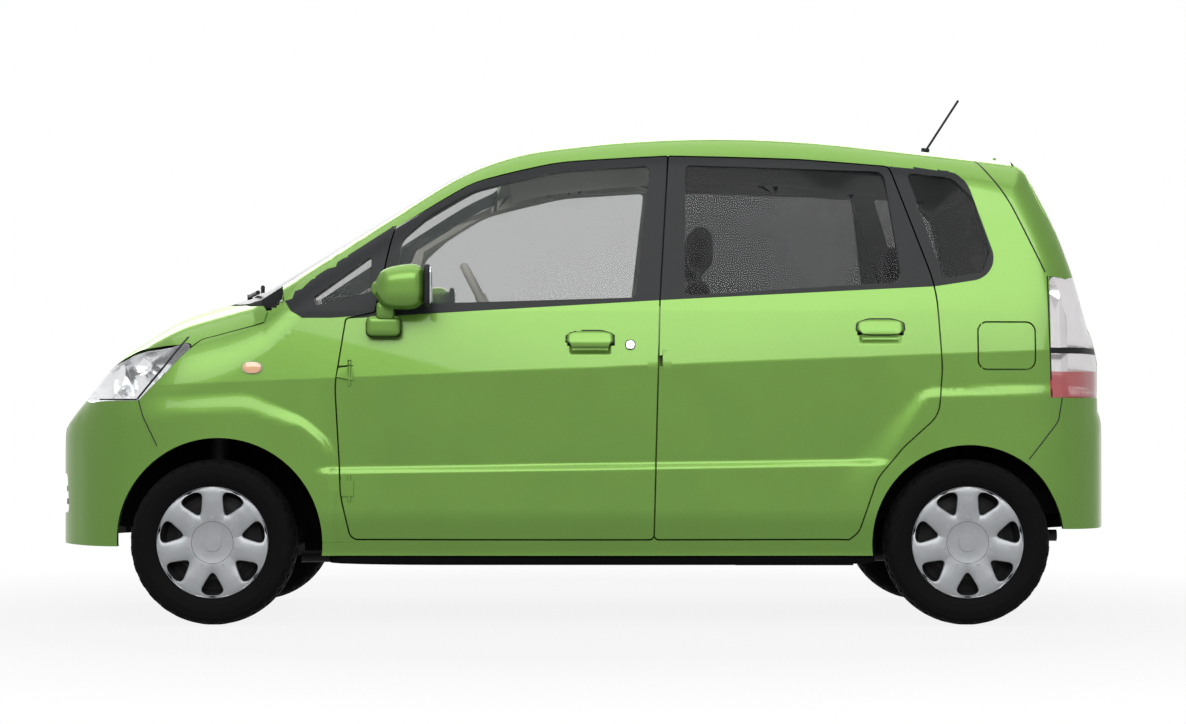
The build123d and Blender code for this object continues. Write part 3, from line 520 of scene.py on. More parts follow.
def seat_panel(bm, layer):
    """Moves a panel's vertices with its skin, and returns the slope at each."""
    bm.verts.index_update()
    co = np.array([v.co for v in bm.verts])
    depth = solid_field(co)
    on_skin = np.array([any(f[layer] for f in v.link_faces) for v in bm.verts])
    moved = co.copy()
    moved[on_skin] = seat_on(co[on_skin], 0.0)
    near = ~on_skin & (depth > -EDGE_DEPTH)
    moved[near] = seat_on(co[near], depth[near])
    deep = ~on_skin & (depth <= -EDGE_DEPTH) & (depth > -STILL_DEPTH)
    g = slope(co[deep])
    gap = np.clip(dressed_field(co[deep]) - depth[deep], -0.02, 0.05)
    moved[deep] -= g * (gap / np.maximum((g * g).sum(1), 0.5))[:, None]
    for x, y in HINGES:
        by_pin = ~on_skin & (np.hypot(co[:, 0] - x, np.abs(co[:, 1]) - y) < PIN_ROOM)
        moved[by_pin] = co[by_pin]
    for v, c in zip(bm.verts, moved):
        v.co = c
    bm.normal_update()
    return unit(slope(moved))


def panel(name, node, mats, choose, steps=None, lines=(), body="chassis", slot="body_paint", mirror=None,
          handles=False):
    """A dressed copy of a body node: cut fine, seated on the dressed field, with its slope as normals.
    choose gives a material index from a face's centre, depth and facing. mirror names a second copy."""
    bm = bmesh.new()
    bm.from_mesh(nodes[node].data)
    bmesh.ops.remove_doubles(bm, verts=bm.verts, dist=2e-5)
    layer = bm.faces.layers.int.new("skin")
    if handles:
        remove_handles(bm)
    for f, _, d, a in zip(bm.faces, *face_facing(bm)):
        f[layer] = 1 if d > -SKIN_DEPTH and a > 0.7 else 0
    skin = np.array([v.co for f in bm.faces if f[layer] for v in f.verts])
    if len(skin) and steps:
        for axis, step in enumerate(steps):
            if step:
                for at in lines_between(skin[:, axis].min(), skin[:, axis].max(), step):
                    cut(bm, layer, *plane(axis, at))
        for point, normal in lines:
            cut(bm, layer, point, normal)
    gradient = seat_panel(bm, layer)
    smooth = []
    for f, c, d, a in zip(bm.faces, *face_facing(bm)):
        f.smooth = True
        f.material_index = choose(c, 0.0 if f[layer] else min(d, -0.001), a)
        smooth.append(1 if a > 0.75 else -1 if a < -0.75 else 0)
    copies = [(name, node, body)] + ([mirror] if mirror else [])
    for mirrored, (label, hidden, rides) in enumerate(copies):
        if mirrored:
            bmesh.ops.scale(bm, vec=(1, -1, 1), verts=bm.verts)
            bmesh.ops.reverse_faces(bm, faces=bm.faces)
            bm.normal_update()
            gradient[:, 1] *= -1
        loops = []
        for f, s in zip(bm.faces, smooth):
            loops += [tuple(gradient[v.vert.index] * s if s else f.normal) for v in f.loops]
        mesh = bpy.data.meshes.new(label)
        bm.to_mesh(mesh)
        mesh.normals_split_custom_set(loops)
        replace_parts(add_piece(label, mesh, mats, slot, rides), hidden)
    bm.free()


# Lines that part paint from the black window band: belt and the corners around the fixed panes.
B_PILLAR = 0.251
BELT = [((-0.731, 0.960), (B_PILLAR, 1.0175)), ((B_PILLAR, 1.0175), (1.118, 1.0625))]
TRIANGLE = [(-0.905, 0.986), (-0.922, 1.012), (-0.903, 1.036), (-0.584, 1.262), (-0.560, 0.976), (-0.860, 0.958)]
QUARTER = [tuple(p) for p in curve([(960, 1452, 0), (1217, 1430, 95), (1326, 1095, 75), (1100, 1060, 0)], 14.0)]
# Where an arch flare runs over a panel: x, x, z, z.
FLARE_SPANS = {
    "front": (-0.77, -0.72, 0.27, 0.60), "rear": (0.79, 1.14, 0.42, 0.77), "quarter": (1.05, 1.60, 0.66, 0.80),
}
FLARE_STEP = 0.017
FENDER_FLARE = ((-1.07, 0.731), (-0.96, 0.716), (-0.86, 0.660), (-0.77, 0.582))
FENDER_STEP = 0.009


def upright(a, b):
    """A cutting plane through two points of the side view."""
    return ((a[0], 0, a[1]), (a[1] - b[1], 0, b[0] - a[0]))


def inside_ring(points, x, z):
    hit = False
    for (ax, az), (bx, bz) in zip(points, points[1:] + points[:1]):
        if (az > z) != (bz > z) and x < (bx - ax) * (z - az) / (bz - az) + ax:
            hit = not hit
    return hit


def above_belt(x, z):
    (x0, z0), (x1, z1) = BELT[0] if x < B_PILLAR else BELT[1]
    return z > z0 + (x - x0) * (z1 - z0) / (x1 - x0)


def side_lines(belt=(), rings=()):
    """Cuts beside the crease and the ledge, along the belt and around the fixed panes."""
    lines = []
    for (x0, z0, rise), offs in (
        (CREASE, (-0.014, -0.005, 0.0, 0.005, 0.014)), (LEDGE, (-0.006, 0.0, 0.006, 0.020, 0.026, 0.032)),
    ):
        lines += [((x0, 0, z0 + off), (-rise, 0, 1)) for off in offs]
    lines += [upright(*b) for b in belt]
    for points in rings:
        lines += [upright(a, b) for a, b in zip(points, points[1:] + points[:1])]
    return lines


def handle_lines(scoop):
    x0, x1, z0, z1 = scoop
    half = SCOOP_EDGE / 2
    xs = (x0, x0 + half, x0 + SCOOP_EDGE, x1 - SCOOP_EDGE, x1 - half, x1)
    zs = (z0, z0 + half, z0 + SCOOP_EDGE, z1 - 0.008)
    return [plane(0, x) for x in xs] + [plane(2, z) for z in zs]


def flare_lines(place):
    """Closer cuts where an arch flare runs over the panel."""
    x0, x1, z0, z1 = FLARE_SPANS[place]
    xs = lines_between(x0, x1, FLARE_STEP)
    return [plane(0, x) for x in xs] + [plane(2, z) for z in lines_between(z0, z1, FLARE_STEP)]


# Material choices of the panels, as indices into BODY and SHELL.
BODY = [PAINT, BLACK, TRIM]
SHELL = [PAINT, BLACK, DARK_TRIM]
PAINTED, DARK, LINED = range(3)
INTAKE_HALF, INTAKE_LOW, INTAKE_HIGH = 0.47, 0.33, 0.48
RED_TOP, STRIP_LOW, STRIP_HIGH = 0.795, 0.852, 0.872


def body_faces(is_dark):
    """Lined inside, black where the rule says so, and painted elsewhere."""
    def choose(c, depth, facing):
        if facing < -0.5 and depth < -LINING_DEPTH:
            return LINED
        return DARK if is_dark(c[0], c[2], depth) else PAINTED

    return choose


all_paint = body_faces(lambda x, z, depth: False)
door_faces = body_faces(lambda x, z, depth: above_belt(x, z))
frame_faces = body_faces(lambda x, z, depth: (
    depth < -OUTER_DEPTH and z > 1.0 or inside_ring(TRIANGLE, x, z) or inside_ring(QUARTER, x, z)))


def bumper_faces(c, depth, facing):
    """The sunk lower intake is black."""
    if depth < -0.003 and abs(c[1]) < INTAKE_HALF and INTAKE_LOW < c[2] < INTAKE_HIGH:
        return DARK
    return all_paint(c, depth, facing)


def plain(c, depth, facing):
    return 0


def fixed_pane_faces(c, depth, facing):
    """Tinted at the rear quarters, clear at the front triangles."""
    return 1 if c[0] < 0 else 0


def headlamp_faces(c, depth, facing):
    """Lens outside, reflector inside."""
    return 0 if depth > -OUTER_DEPTH and facing > 0.5 else 1


def tail_lamp_faces(c, depth, facing):
    """Pale lens over a red one, with a black strip; reflector inside."""
    if headlamp_faces(c, depth, facing):
        return 2
    if c[2] < RED_TOP:
        return 1
    return 3 if STRIP_LOW < c[2] < STRIP_HIGH else 0


SIDE_GRID = (0.034, 0, 0.034)
BUMPER_GRID = (0.045, 0.045, 0.04)
for place, belt, scoop in (("front", BELT[0], SCOOPS[0]), ("rear", BELT[1], SCOOPS[1])):
    left, right = f"{place}_door_left", f"{place}_door_right"
    lines = side_lines([belt]) + handle_lines(scoop) + flare_lines(place)
    panel(f"{place}_door_skin_left", left, BODY, door_faces, SIDE_GRID, lines, left,
          mirror=(f"{place}_door_skin_right", right, right), handles=True)
    pane, slot = (GLASS, "glass") if place == "front" else (TINTED, "tinted_glass")
    panel(f"{place}_pane_left", f"{place}_door_glass_left", [pane], plain, body=left, slot=slot,
          mirror=(f"{place}_pane_right", f"{place}_door_glass_right", right))
lines = side_lines()
for a, b in zip(FENDER_FLARE, FENDER_FLARE[1:]):
    for k in range(6):
        lines.append(upright((a[0], a[1] - FENDER_STEP * k), (b[0], b[1] - FENDER_STEP * k)))
panel("fender_skin_left", "front_fender_left", SHELL, all_paint, (0.018, 0, 0.018), lines,
      mirror=("fender_skin_right", "front_fender_right", "chassis"))
for side, _ in SIDES:
    panel(f"side_skin_{side}", f"side_frame_{side}", BODY, frame_faces, SIDE_GRID,
          side_lines([BELT[0]], [TRIANGLE, QUARTER]) + flare_lines("quarter"))
panel("fuel_door", "fuel_lid", SHELL, all_paint, (0.03, 0, 0.03), side_lines()[:5], "fuel_lid")
panel("bonnet_skin", "bonnet", SHELL, all_paint, (0.04, 0.045, 0), body="bonnet")
panel("roof_skin", "roof_panel", BODY, all_paint, (0.06, 0.06, 0))
panel("tailgate_skin", "tailgate", BODY, all_paint, (0, 0.045, 0.045), body="tailgate")
panel("front_bumper_skin", "front_bumper", SHELL, bumper_faces, BUMPER_GRID)
panel("rear_bumper_skin", "rear_bumper", SHELL, all_paint, BUMPER_GRID)
panel("windscreen_pane", "windscreen", [GLASS], plain, slot="glass")
panel("tailgate_pane", "tailgate_glass", [TINTED], plain, body="tailgate", slot="tinted_glass")
panel("fixed_panes", "fixed_side_glass", [TINTED, GLASS], fixed_pane_faces, slot="tinted_glass")
panel("cowl_skin", "cowl_panel", [BLACK], plain, slot="satin_black")
panel("headlamp_shells", "headlamps", [LENS, CHROME], headlamp_faces, (0.05, 0.05, 0.05), slot="lamp_clear")
panel("tail_lamp_shells", "tail_lamps", [REAR_LENS, RED_LENS, CHROME, BLACK], tail_lamp_faces, (0, 0.05, 0.03),
      [plane(2, z) for z in (RED_TOP, STRIP_LOW, STRIP_HIGH)], slot="lamp_red")


# Wheels: cover with seven windows, dark steel wheel behind, tyre with tread. Profiles: radius, outward offset.
WINDOWS = 7
SECTOR = 2 * math.pi / WINDOWS
COVER_RADII = (0.0, 0.028, 0.0285, 0.05, 0.08, 0.13, 0.160, 0.172, 0.1755)
COVER_OFFSETS = (0.063, 0.063, 0.0605, 0.061, 0.0655, 0.069, 0.0685, 0.066, 0.061)
HUB_RADII = (0.0, 0.012, 0.026, 0.028, 0.0285, 0.034, 0.045, 0.055, 0.065)
COVER_RIM = ((0.171, None), (0.1735, 0.0655), (0.1755, 0.061), (0.1755, 0.050))
# From a window's sunk edge (0) to its sector's edge (1): share and offset.
WINDOW_ROWS = (
    (0.0, -0.022), (0.0, -0.004), (0.04, -0.001), (0.10, 0.0), (0.4, 0.0), (0.7, 0.0), (1.0, 0.0),
)
# Middle and half of the radii of a window and of its sector, and a window's half angles inside and outside.
WINDOW_R, WINDOW_HALF = 0.1310, 0.0350
SECTOR_R, SECTOR_HALF = 0.1185, 0.0525
ANGLE_IN, ANGLE_OUT = 0.10, 0.285
NUT_CIRCLE = 0.078
NUT_ROWS = ((0.0050, 0.0004), (0.0040, 0.0007), (0.0030, 0.0), (0.0, -0.0022))
TYRE = [
    (0.166, 0.040), (0.168, 0.058), (0.172, 0.0605), (0.180, 0.0645), (0.190, 0.0700), (0.193, 0.0712),
    (0.196, 0.0722), (0.198, 0.0722), (0.206, 0.0755), (0.216, 0.0770), (0.226, 0.0765), (0.234, 0.0745),
    (0.236, 0.0748), (0.240, 0.0730), (0.248, 0.0680), (0.2535, 0.0620), (0.2565, 0.0560), (0.2580, 0.0400),
    (0.2510, 0.0390), (0.2510, 0.0340), (0.2590, 0.0330), (0.2597, 0.0160), (0.2520, 0.0150),
    (0.2520, 0.0100), (0.2598, 0.0090),
]
STEEL_WHEEL = [
    (0.030, -0.020), (0.030, 0.034), (0.060, 0.034), (0.085, 0.026), (0.115, 0.030), (0.135, 0.016),
    (0.150, 0.014), (0.160, 0.034), (0.170, 0.056), (0.173, 0.052), (0.166, 0.030), (0.160, -0.030),
    (0.172, -0.056), (0.168, -0.058), (0.155, -0.030), (0.150, 0.000),
]
GROOVE = 0.0055


def spin(centre, side, r, f, out):
    """A point of a wheel from its radius, angle and outward offset."""
    return (centre[0] + r * math.cos(f), side * (HALF_TRACK + out), centre[1] + r * math.sin(f))


def lathe(name, profile, centre, side, mat, body, slot, count, sharp, dip=None):
    """A ring turned about the wheel's axle; dip lowers single points of it."""
    verts = []
    for k, f in enumerate(turns(count)):
        for i, (r, out) in enumerate(profile):
            verts.append(spin(centre, side, r - (dip(i, k, r) if dip else 0), f, out))
    faces = quads(count, len(profile), turned=True, flip=True)
    return sharpen(mesh_object(name, verts, faces, [mat], slot, body), sharp)


def tread(i, k, r):
    """Cross grooves at point i of the tyre's profile and step k around it."""
    i = min(i, 2 * len(TYRE) - 1 - i)
    shoulder = 14 <= i < 18 and k % 4 == 0 and r > 0.2475
    middle = i in (20, 21) and k % 4 == 2
    return GROOVE if shoulder or middle else 0.0


def cover_height(r, f):
    """Outward offset of the cover's face at radius r and angle f from a spoke's middle."""
    base = np.interp(r, COVER_RADII, COVER_OFFSETS)
    return float(base) - 0.010 * float(ease((r - 0.06) / 0.06)) * (f / (SECTOR / 2)) ** 2


def window_row(middle, blend, sink):
    """One loop around a window, between its edge and the edge of its sector."""
    row = []
    for t in turns(48):
        c, s = math.cos(t), math.sin(t)
        square = 1 / max(abs(c), abs(s))
        edge_r = SECTOR_R + SECTOR_HALF * c * square
        edge_f = 0.5 * SECTOR * s * square
        u = WINDOW_R + WINDOW_HALF * power(c, 0.74)
        share = (u - WINDOW_R + WINDOW_HALF) / (2 * WINDOW_HALF)
        taper = ANGLE_IN + (ANGLE_OUT - ANGLE_IN) * share
        v = taper * power(s, 0.80)
        r = u + (edge_r - u) * blend
        f = v + (edge_f - v) * blend
        row.append((r, middle + f, cover_height(r, abs(abs(f) - 0.5 * SECTOR)) + sink))
    return row


def wheel_cover(name, centre, side, body):
    verts, faces, shades = [], [], []

    def band(rows, dark=0):
        """Joins closed rows of points; the first dark rows of faces take the second material, the near-black wheel
        steel, as painted shade on the windows' walls.
        """
        count = len(rows[0])
        faces.extend(quads(len(rows), count, len(verts), closed=True))
        shades.extend([1] * (dark * count) + [0] * ((len(rows) - 1 - dark) * count))
        verts.extend(spin(centre, side, *point) for row in rows for point in row)

    for k in range(WINDOWS):
        middle = math.pi / 2 + SECTOR * (k + 0.5)
        # The windows' inner walls take the near-black wheel steel: painted shade in the windows.
        band([window_row(middle, blend, sink) for blend, sink in WINDOW_ROWS], dark=1)
    band([[(r, f, cover_height(r, 0)) for f in turns(84)] for r in HUB_RADII])
    local = {f: (f - math.pi / 2 + SECTOR / 2) % SECTOR - SECTOR / 2 for f in turns(168)}
    band([[(r, f, out or cover_height(r, local[f])) for f in local] for r, out in COVER_RIM])
    top = cover_height(NUT_CIRCLE, 0)
    for k in range(WINDOWS):
        f = math.pi / 2 + SECTOR * k
        band([
            [(NUT_CIRCLE + d * math.cos(q), f + d * math.sin(q) / NUT_CIRCLE, top + out) for q in turns(14)]
            for d, out in NUT_ROWS
        ])
    cover = mesh_object(name, verts, faces, [SILVER, WHEEL_STEEL], "wheel_silver", body, shades)
    return sharpen(cover, 50, 2e-4)


for axle, x in (("front", FRONT_AXLE), ("rear", REAR_AXLE)):
    for side, way in SIDES:
        body = f"wheel_{axle}_{side}"
        centre = (x, AXLE_Z)
        profile = TYRE + [(r, -out) for r, out in reversed(TYRE)]
        tyre = lathe(f"tyre_{axle}_{side}_tread", profile, centre, way, RUBBER, body, "tyre", 120, 32, tread)
        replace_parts(tyre, f"tyre_{axle}_{side}")
        cover = wheel_cover(f"cover_{axle}_{side}", centre, way, body)
        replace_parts(cover, f"wheel_{axle}_{side}")
        lathe(f"steel_wheel_{axle}_{side}", STEEL_WHEEL, centre, way, WHEEL_STEEL, body, "wheel_silver", 72, 40)


# Wheel arch liners, dark shells behind the openings: growth of the radius and half width, from the skin inward.
LINER_ROWS = ((-0.004, 0.700), (0.004, 0.670), (0.006, 0.60), (0.006, 0.47), (-0.03, 0.42), (-0.09, 0.405))
LINER_ANGLES = [math.radians(7 + 166 * k / 36) for k in range(37)]
LINER_INSET = 0.020
LINER_LOW = 0.30
for axle, x, radius in (("front", -1.1295, 0.352), ("rear", 1.2185, 0.330)):
    rim = skin_points([
        (x + radius * math.cos(f), max(LINER_LOW, AXLE_Z + radius * math.sin(f)), 0) for f in LINER_ANGLES])
    for side, way in SIDES:
        verts = []
        for f, (_, skin_y, _) in zip(LINER_ANGLES, rim):
            for grow, y in LINER_ROWS:
                r = radius + grow
                out = min(y, -skin_y - LINER_INSET)
                verts.append((x + r * math.cos(f), way * out, AXLE_Z + r * math.sin(f)))
        faces = quads(len(LINER_ANGLES), len(LINER_ROWS), flip=True)
        mesh_object(f"arch_liner_{axle}_{side}", verts, faces, [UNDER], "underbody")


def rounded_box(name, xs, ys, zs, radius, mat, slot, body="chassis", cuts=7, shape=None, smooth=False):
    """A box with rounded edges over ranges of x, y and z. shape moves its points, given from -1 to 1,
    as a last step; smooth subdivides it."""
    bm = bmesh.new()
    bmesh.ops.create_cube(bm, size=2)
    bmesh.ops.subdivide_edges(bm, edges=bm.edges[:], cuts=cuts, use_grid_fill=True)
    low, high = (Vector(corner) for corner in zip(sorted(xs), sorted(ys), sorted(zs)))
    middle = (low + high) / 2
    half = (high - low) / 2
    for v in bm.verts:
        u = Vector(v.co)
        point = Vector([u[i] * half[i] for i in range(3)])
        core = Vector([max(-(half[i] - radius), min(half[i] - radius, point[i])) for i in range(3)])
        off = point - core
        if off.length > 1e-9:
            point = core + off.normalized() * radius
        if shape:
            point = shape(u, point, half)
        v.co = middle + point
    for f in bm.faces:
        f.smooth = True
    mesh = bpy.data.meshes.new(name)
    bm.to_mesh(mesh)
    bm.free()
    obj = add_piece(name, mesh, [mat], slot, body)
    if smooth:
        finer = obj.modifiers.new("round", "SUBSURF")
        finer.levels = finer.render_levels = 1
    return obj


# Door handles: a flap over the scoop with a dark seam round it.
FLAP_WIDE, FLAP_TALL = 24, 10
FLAP_BACK = -0.006
SEAM = 0.0035
FLAP_LIFT = 0.0015


def handle(name, span, way, grow, lift, crowned, mat, slot, body):
    """A closed plate on the flank; a crowned one is thicker towards its lower edge."""
    x0, x1, z0, z1 = span
    spots = []
    for back in (False, True):
        for j in range(FLAP_TALL + 1):
            for i in range(FLAP_WIDE + 1):
                u = -1 + 2 * i / FLAP_WIDE
                v = -1 + 2 * j / FLAP_TALL
                a = u * math.sqrt(max(0, 1 - 0.5 * abs(v) ** 6))
                b = v * math.sqrt(max(0, 1 - 0.5 * abs(u) ** 6))
                pinch = 1 - 0.05 * (v + 1) / 2
                x = (x0 + x1) / 2 + a * pinch * ((x1 - x0) / 2 + grow)
                z = (z0 + z1) / 2 + b * ((z1 - z0) / 2 + grow)
                edge = min(1.0, (1 - max(abs(u), abs(v))) * 5)
                crown = (0.004 + 0.006 * (1 - v) / 2) * math.sqrt(1 - (1 - edge) ** 2) if crowned else 0.0
                spots.append((x, z, FLAP_BACK if back else lift + crown))
    row = FLAP_WIDE + 1
    size = row * (FLAP_TALL + 1)
    faces = quads(FLAP_TALL + 1, row) + quads(FLAP_TALL + 1, row, size, flip=True)
    border = list(range(row)) + [j * row + FLAP_WIDE for j in range(1, FLAP_TALL + 1)]
    border += [FLAP_TALL * row + i for i in range(FLAP_WIDE - 1, -1, -1)]
    border += [j * row for j in range(FLAP_TALL - 1, 0, -1)]
    faces += [(a, size + a, size + b, b) for a, b in zip(border, border[1:] + border[:1])]
    sharpen(mesh_object(name, skin_points(spots, way), faces, [mat], slot, body), 60)


for place, *span in FLAPS:
    for side, way in SIDES:
        door = f"{place}_door_{side}"
        handle(f"handle_seam_{place}_{side}", span, way, SEAM, 0.0, False, BLACK, "satin_black", door)
        handle(f"handle_flap_{place}_{side}", span, way, 0.0, FLAP_LIFT, True, PAINT, "body_paint", door)


def disc(name, place, way, radius, mats, slot, rows, body="chassis", squash=1.0):
    """A small round or oval fitting on the flank. rows: (share of radius, lift, material)."""
    x, z = place
    count = 32
    spots = []
    for share, lift, _ in rows:
        for f in turns(count):
            u, v = power(math.cos(f), 0.8), power(math.sin(f), 0.8)
            spots.append((x + share * radius * u, z + share * radius * squash * v, lift))
    faces = quads(len(rows), count, closed=True)
    faces.append(tuple(range((len(rows) - 1) * count, len(rows) * count)))
    indices = [index for _, _, index in rows[1:] for _ in range(count)] + [rows[-1][2]]
    sharpen(mesh_object(name, skin_points(spots, way), faces, mats, slot, body, indices), 45)


LOCK_AT = (0.158, 0.877)
LOCK = ((1.0, -0.001, 0), (1.0, 0.0015, 0), (0.82, 0.003, 0), (0.80, 0.002, 1), (0.70, 0.0045, 1), (0.2, 0.005, 1))
REPEATER_AT = (-1.023, 0.806)
REPEATER = (
    (1.05, -0.001, 0), (1.03, 0.0012, 0), (0.96, 0.002, 1), (0.85, 0.006, 1), (0.5, 0.0075, 2), (0.2, 0.008, 2),
)
for side, way in SIDES:
    disc(f"door_lock_{side}", LOCK_AT, way, 0.016, [BLACK, CHROME], "steel", LOCK, f"front_door_{side}")
    disc(f"repeater_{side}", REPEATER_AT, way, 0.034, [BLACK, LENS, AMBER], "lamp_clear", REPEATER, squash=0.60)


# Thin dark lines at the joints of fixed panels: x, z and corner radius in mm of their points, and the width.
JOINTS = (
    ("quarter_joint", ((1.262, 1.470, 0), (1.352, 1.352, 600), (1.464, 1.108, 0)), 0.0045),
    ("front_bumper_joint", ((-1.384, 0.707, 0), (-1.368, 0.655, 80), (-1.322, 0.562, 0)), 0.0035),
    ("tail_lamp_seal", ((1.470, 1.096, 0), (1.472, 0.90, 900), (1.478, 0.716, 0)), 0.0045),
    ("headlamp_seal", ((-1.388, 0.7085, 0), (-1.302, 0.812, 700), (-1.230, 0.905, 0)), 0.0055),
    ("headlamp_sill", ((-1.520, 0.7075, 0), (-1.450, 0.7075, 0), (-1.388, 0.7075, 0)), 0.0045),
    ("rear_bumper_joint", ((1.512, 0.712, 0), (1.500, 0.640, 60), (1.405, 0.520, 0)), 0.0035),
)
JOINT_LIFT = 0.0004
JOINT_ROOT = -0.002


def ribbon(name, points, width, way):
    line = curve([(x * 1000, z * 1000, r) for x, z, r in points], 6.0)
    fine = []
    for a, b in zip(line, line[1:]):
        count = max(1, int(np.linalg.norm(b - a) / 0.012))
        fine += [a + (b - a) * k / count for k in range(count)]
    fine = np.array(fine + [line[-1]])
    run = np.gradient(fine, axis=0)
    run /= np.linalg.norm(run, axis=1, keepdims=True)
    across = np.column_stack([-run[:, 1], run[:, 0]])
    spots = []
    for off, up in ((-0.5, JOINT_ROOT), (-0.5, JOINT_LIFT), (0.5, JOINT_LIFT), (0.5, JOINT_ROOT)):
        spots += [(x, z, up) for x, z in fine + off * width * across]
    mesh_object(name, skin_points(spots, way), quads(4, len(fine)), [BLACK], "satin_black")


for side, way in SIDES:
    for label, points, width in JOINTS:
        ribbon(f"{label}_{side}", points, width, way)


# Caps over the notches that the door hinges need in the skins at the B pillar.
CAPS = (("front", 0.212, 0.2430, 0.786, 0.854), ("rear", 0.2600, 0.287, 0.786, 0.866))
CAP_LIFTS = (0.0006, -0.0015)
CAP_WIDE, CAP_TALL = 5, 7
for side, way in SIDES:
    for place, x0, x1, z0, z1 in CAPS:
        xs, zs = np.linspace(x0, x1, CAP_WIDE), np.linspace(z0, z1, CAP_TALL)
        verts = skin_points([(x, z, lift) for lift in CAP_LIFTS for x in xs for z in zs], way)
        faces = [f for k in (0, 1) for f in quads(CAP_WIDE, CAP_TALL, k * CAP_WIDE * CAP_TALL, flip=True)]
        door = f"{place}_door_{side}"
        mesh_object(f"hinge_cap_middle_{place}_{side}", verts, faces, [PAINT], "body_paint", door)


# Mirrors: round-nosed head on a foot, with glass in a black rim.
# x, half width and height of each piece, edge radius, material, slot, cuts, subdivided.
MIRROR_PIECES = (
    ("head", (-0.645, -0.470), (0.742, 0.870), (0.984, 1.132), 0.052, PAINT, "body_paint", 9, True),
    ("rim", (-0.480, -0.458), (0.748, 0.864), (0.994, 1.123), 0.0105, BLACK, "satin_black", 7, True),
    ("pane", (-0.461, -0.4565), (0.756, 0.856), (1.002, 1.115), 0.002, MIRROR, "glass", 5, False),
    ("foot", (-0.664, -0.556), (0.690, 0.766), (0.902, 0.968), 0.018, PAINT, "body_paint", 7, True),
    ("neck", (-0.632, -0.575), (0.712, 0.775), (0.955, 1.010), 0.014, PAINT, "body_paint", 5, False),
    ("seal", (-0.666, -0.554), (0.696, 0.758), (0.900, 0.962), 0.016, BLACK, "satin_black", 7, True),
)


def nose(u, p, half):
    """Draws the head's front in to a round, slightly drooping nose."""
    t = (u[0] + 1) / 2
    fill = max(0.0, 1 - (1 - t) ** 2.3) ** 0.5
    grow = 0.40 + 0.60 * fill - 0.05 * t * t
    droop = 0.010 * (1 - t)
    return Vector((p[0] * 0.98, p[1] * grow, p[2] * grow - droop))


for side, way in SIDES:
    for label, xs, ys, zs, radius, mat, slot, cuts, smooth in MIRROR_PIECES:
        shape = nose if label == "head" else None
        piece = rounded_box(f"mirror_{label}_{side}", xs, [way * y for y in ys], zs, radius, mat, slot,
                            f"front_door_{side}", cuts, shape, smooth)
        if shape:
            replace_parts(piece, f"mirror_{side}")


# A dark screen behind the lower intake, painted shade for the inside of the intake, and rails under the sills.
# Near-black plate behind the intake: painted shade.
rounded_box("intake_shade_screen", (-1.632, -1.622), (-0.38, 0.38), (0.335, 0.475), 0.004, UNDER, "underbody", cuts=5)
for side, way in SIDES:
    rounded_box(f"sill_rail_{side}", (-0.785, 0.925), (way * 0.585, way * 0.694), (0.188, 0.262), 0.016, UNDER,
                "underbody", smooth=True)


# Headliner: a sheet that follows the roof at a depth below it.
LINER_DEPTH = 0.072
xs, ys = np.linspace(-0.24, 1.30, 24), np.linspace(-0.46, 0.46, 15)
x, y = np.meshgrid(xs, ys, indexing="ij")
sheet = np.column_stack([x.ravel(), y.ravel(), np.full(x.size, 1.2)])
up = np.array([[0.0, 0.0, STEP]])
for _ in range(25):
    rise = np.maximum((tops(sheet + up) - tops(sheet - up)) / (2 * STEP), 0.4)
    sheet[:, 2] -= np.clip((tops(sheet) + LINER_DEPTH) / rise, -0.1, 0.1)
headliner = mesh_object("headliner", sheet, quads(24, 15, flip=True), [TRIM], "interior")
headliner.modifiers.new("thick", "SOLIDIFY").thickness = 0.003


# Painted corners beside the cowl, just under the skin, where the windscreen, bonnet and fenders meet.
CORNER_DEPTH = 0.004
CORNER_COUNT = 14
for side, way in SIDES:
    xs, zs = np.linspace(-0.992, -0.890, CORNER_COUNT), np.linspace(0.930, 1.040, CORNER_COUNT)
    verts = skin_points([(x, z, -CORNER_DEPTH) for x in xs for z in zs], way)
    faces = []
    for quad in quads(CORNER_COUNT, CORNER_COUNT, flip=True):
        corners = verts[list(quad)]
        level = np.abs(dressed_field(corners, False) + CORNER_DEPTH).max() < CORNER_DEPTH
        if level and (corners[:, 0].min() > -0.942 or np.abs(corners[:, 1]).min() > 0.650):
            faces.append(quad)
    mesh_object(f"cowl_corner_{side}", verts, faces, [PAINT], "body_paint")


# Seats: crowned cushions with sewn channels.
CHANNEL_WIDE = 0.035
CHANNEL_DEEP = 0.011
SEAM_DEEP = 0.004
FACE = 0.98  # from this share outward a point is on a face of the box


def cushion(name, xs, y, half_wide, zs, lean, crown, channels=(), rows=26):
    """A crowned pad. lean shifts x by the height; channels lie across at those shares of the width."""
    def sew(u, p, half):
        p = p.copy()
        for axis in range(3):
            a, b = [i for i in range(3) if i != axis]
            p[axis] += u[axis] * crown[axis] * (1 - u[a] ** 2) * (1 - u[b] ** 2)
        for c in channels:
            pull = math.exp(-((u[1] - c) / CHANNEL_WIDE) ** 2)
            for axis in (0, 2):
                if abs(u[axis]) > FACE:
                    p[axis] -= math.copysign(CHANNEL_DEEP, u[axis]) * pull
        for axis in range(3):
            others = [abs(u[i]) for i in range(3) if i != axis]
            if abs(u[axis]) > FACE and 0.80 < max(others) < 0.88:
                p[axis] -= math.copysign(SEAM_DEEP, u[axis])
        p[0] += lean * (p[2] + half[2])
        return p

    ys = (y - half_wide, y + half_wide)
    edge = min(0.045, 0.45 * min(b - a for a, b in (xs, ys, zs)))
    obj = rounded_box(name, xs, ys, zs, edge, CLOTH, "seat_cloth", "chassis", rows, sew, True)
    return obj


SEAT_CROWN = (0.004, 0.006, 0.014)
HEAD_CROWN = (0.006, 0.004, 0.003)
SEAT_CHANNELS = (-0.55, 0.0, 0.55)
BENCH_CHANNELS = (-0.5, 0.0, 0.5)
BENCH_HALF = 0.522
BENCH_ROWS = 34
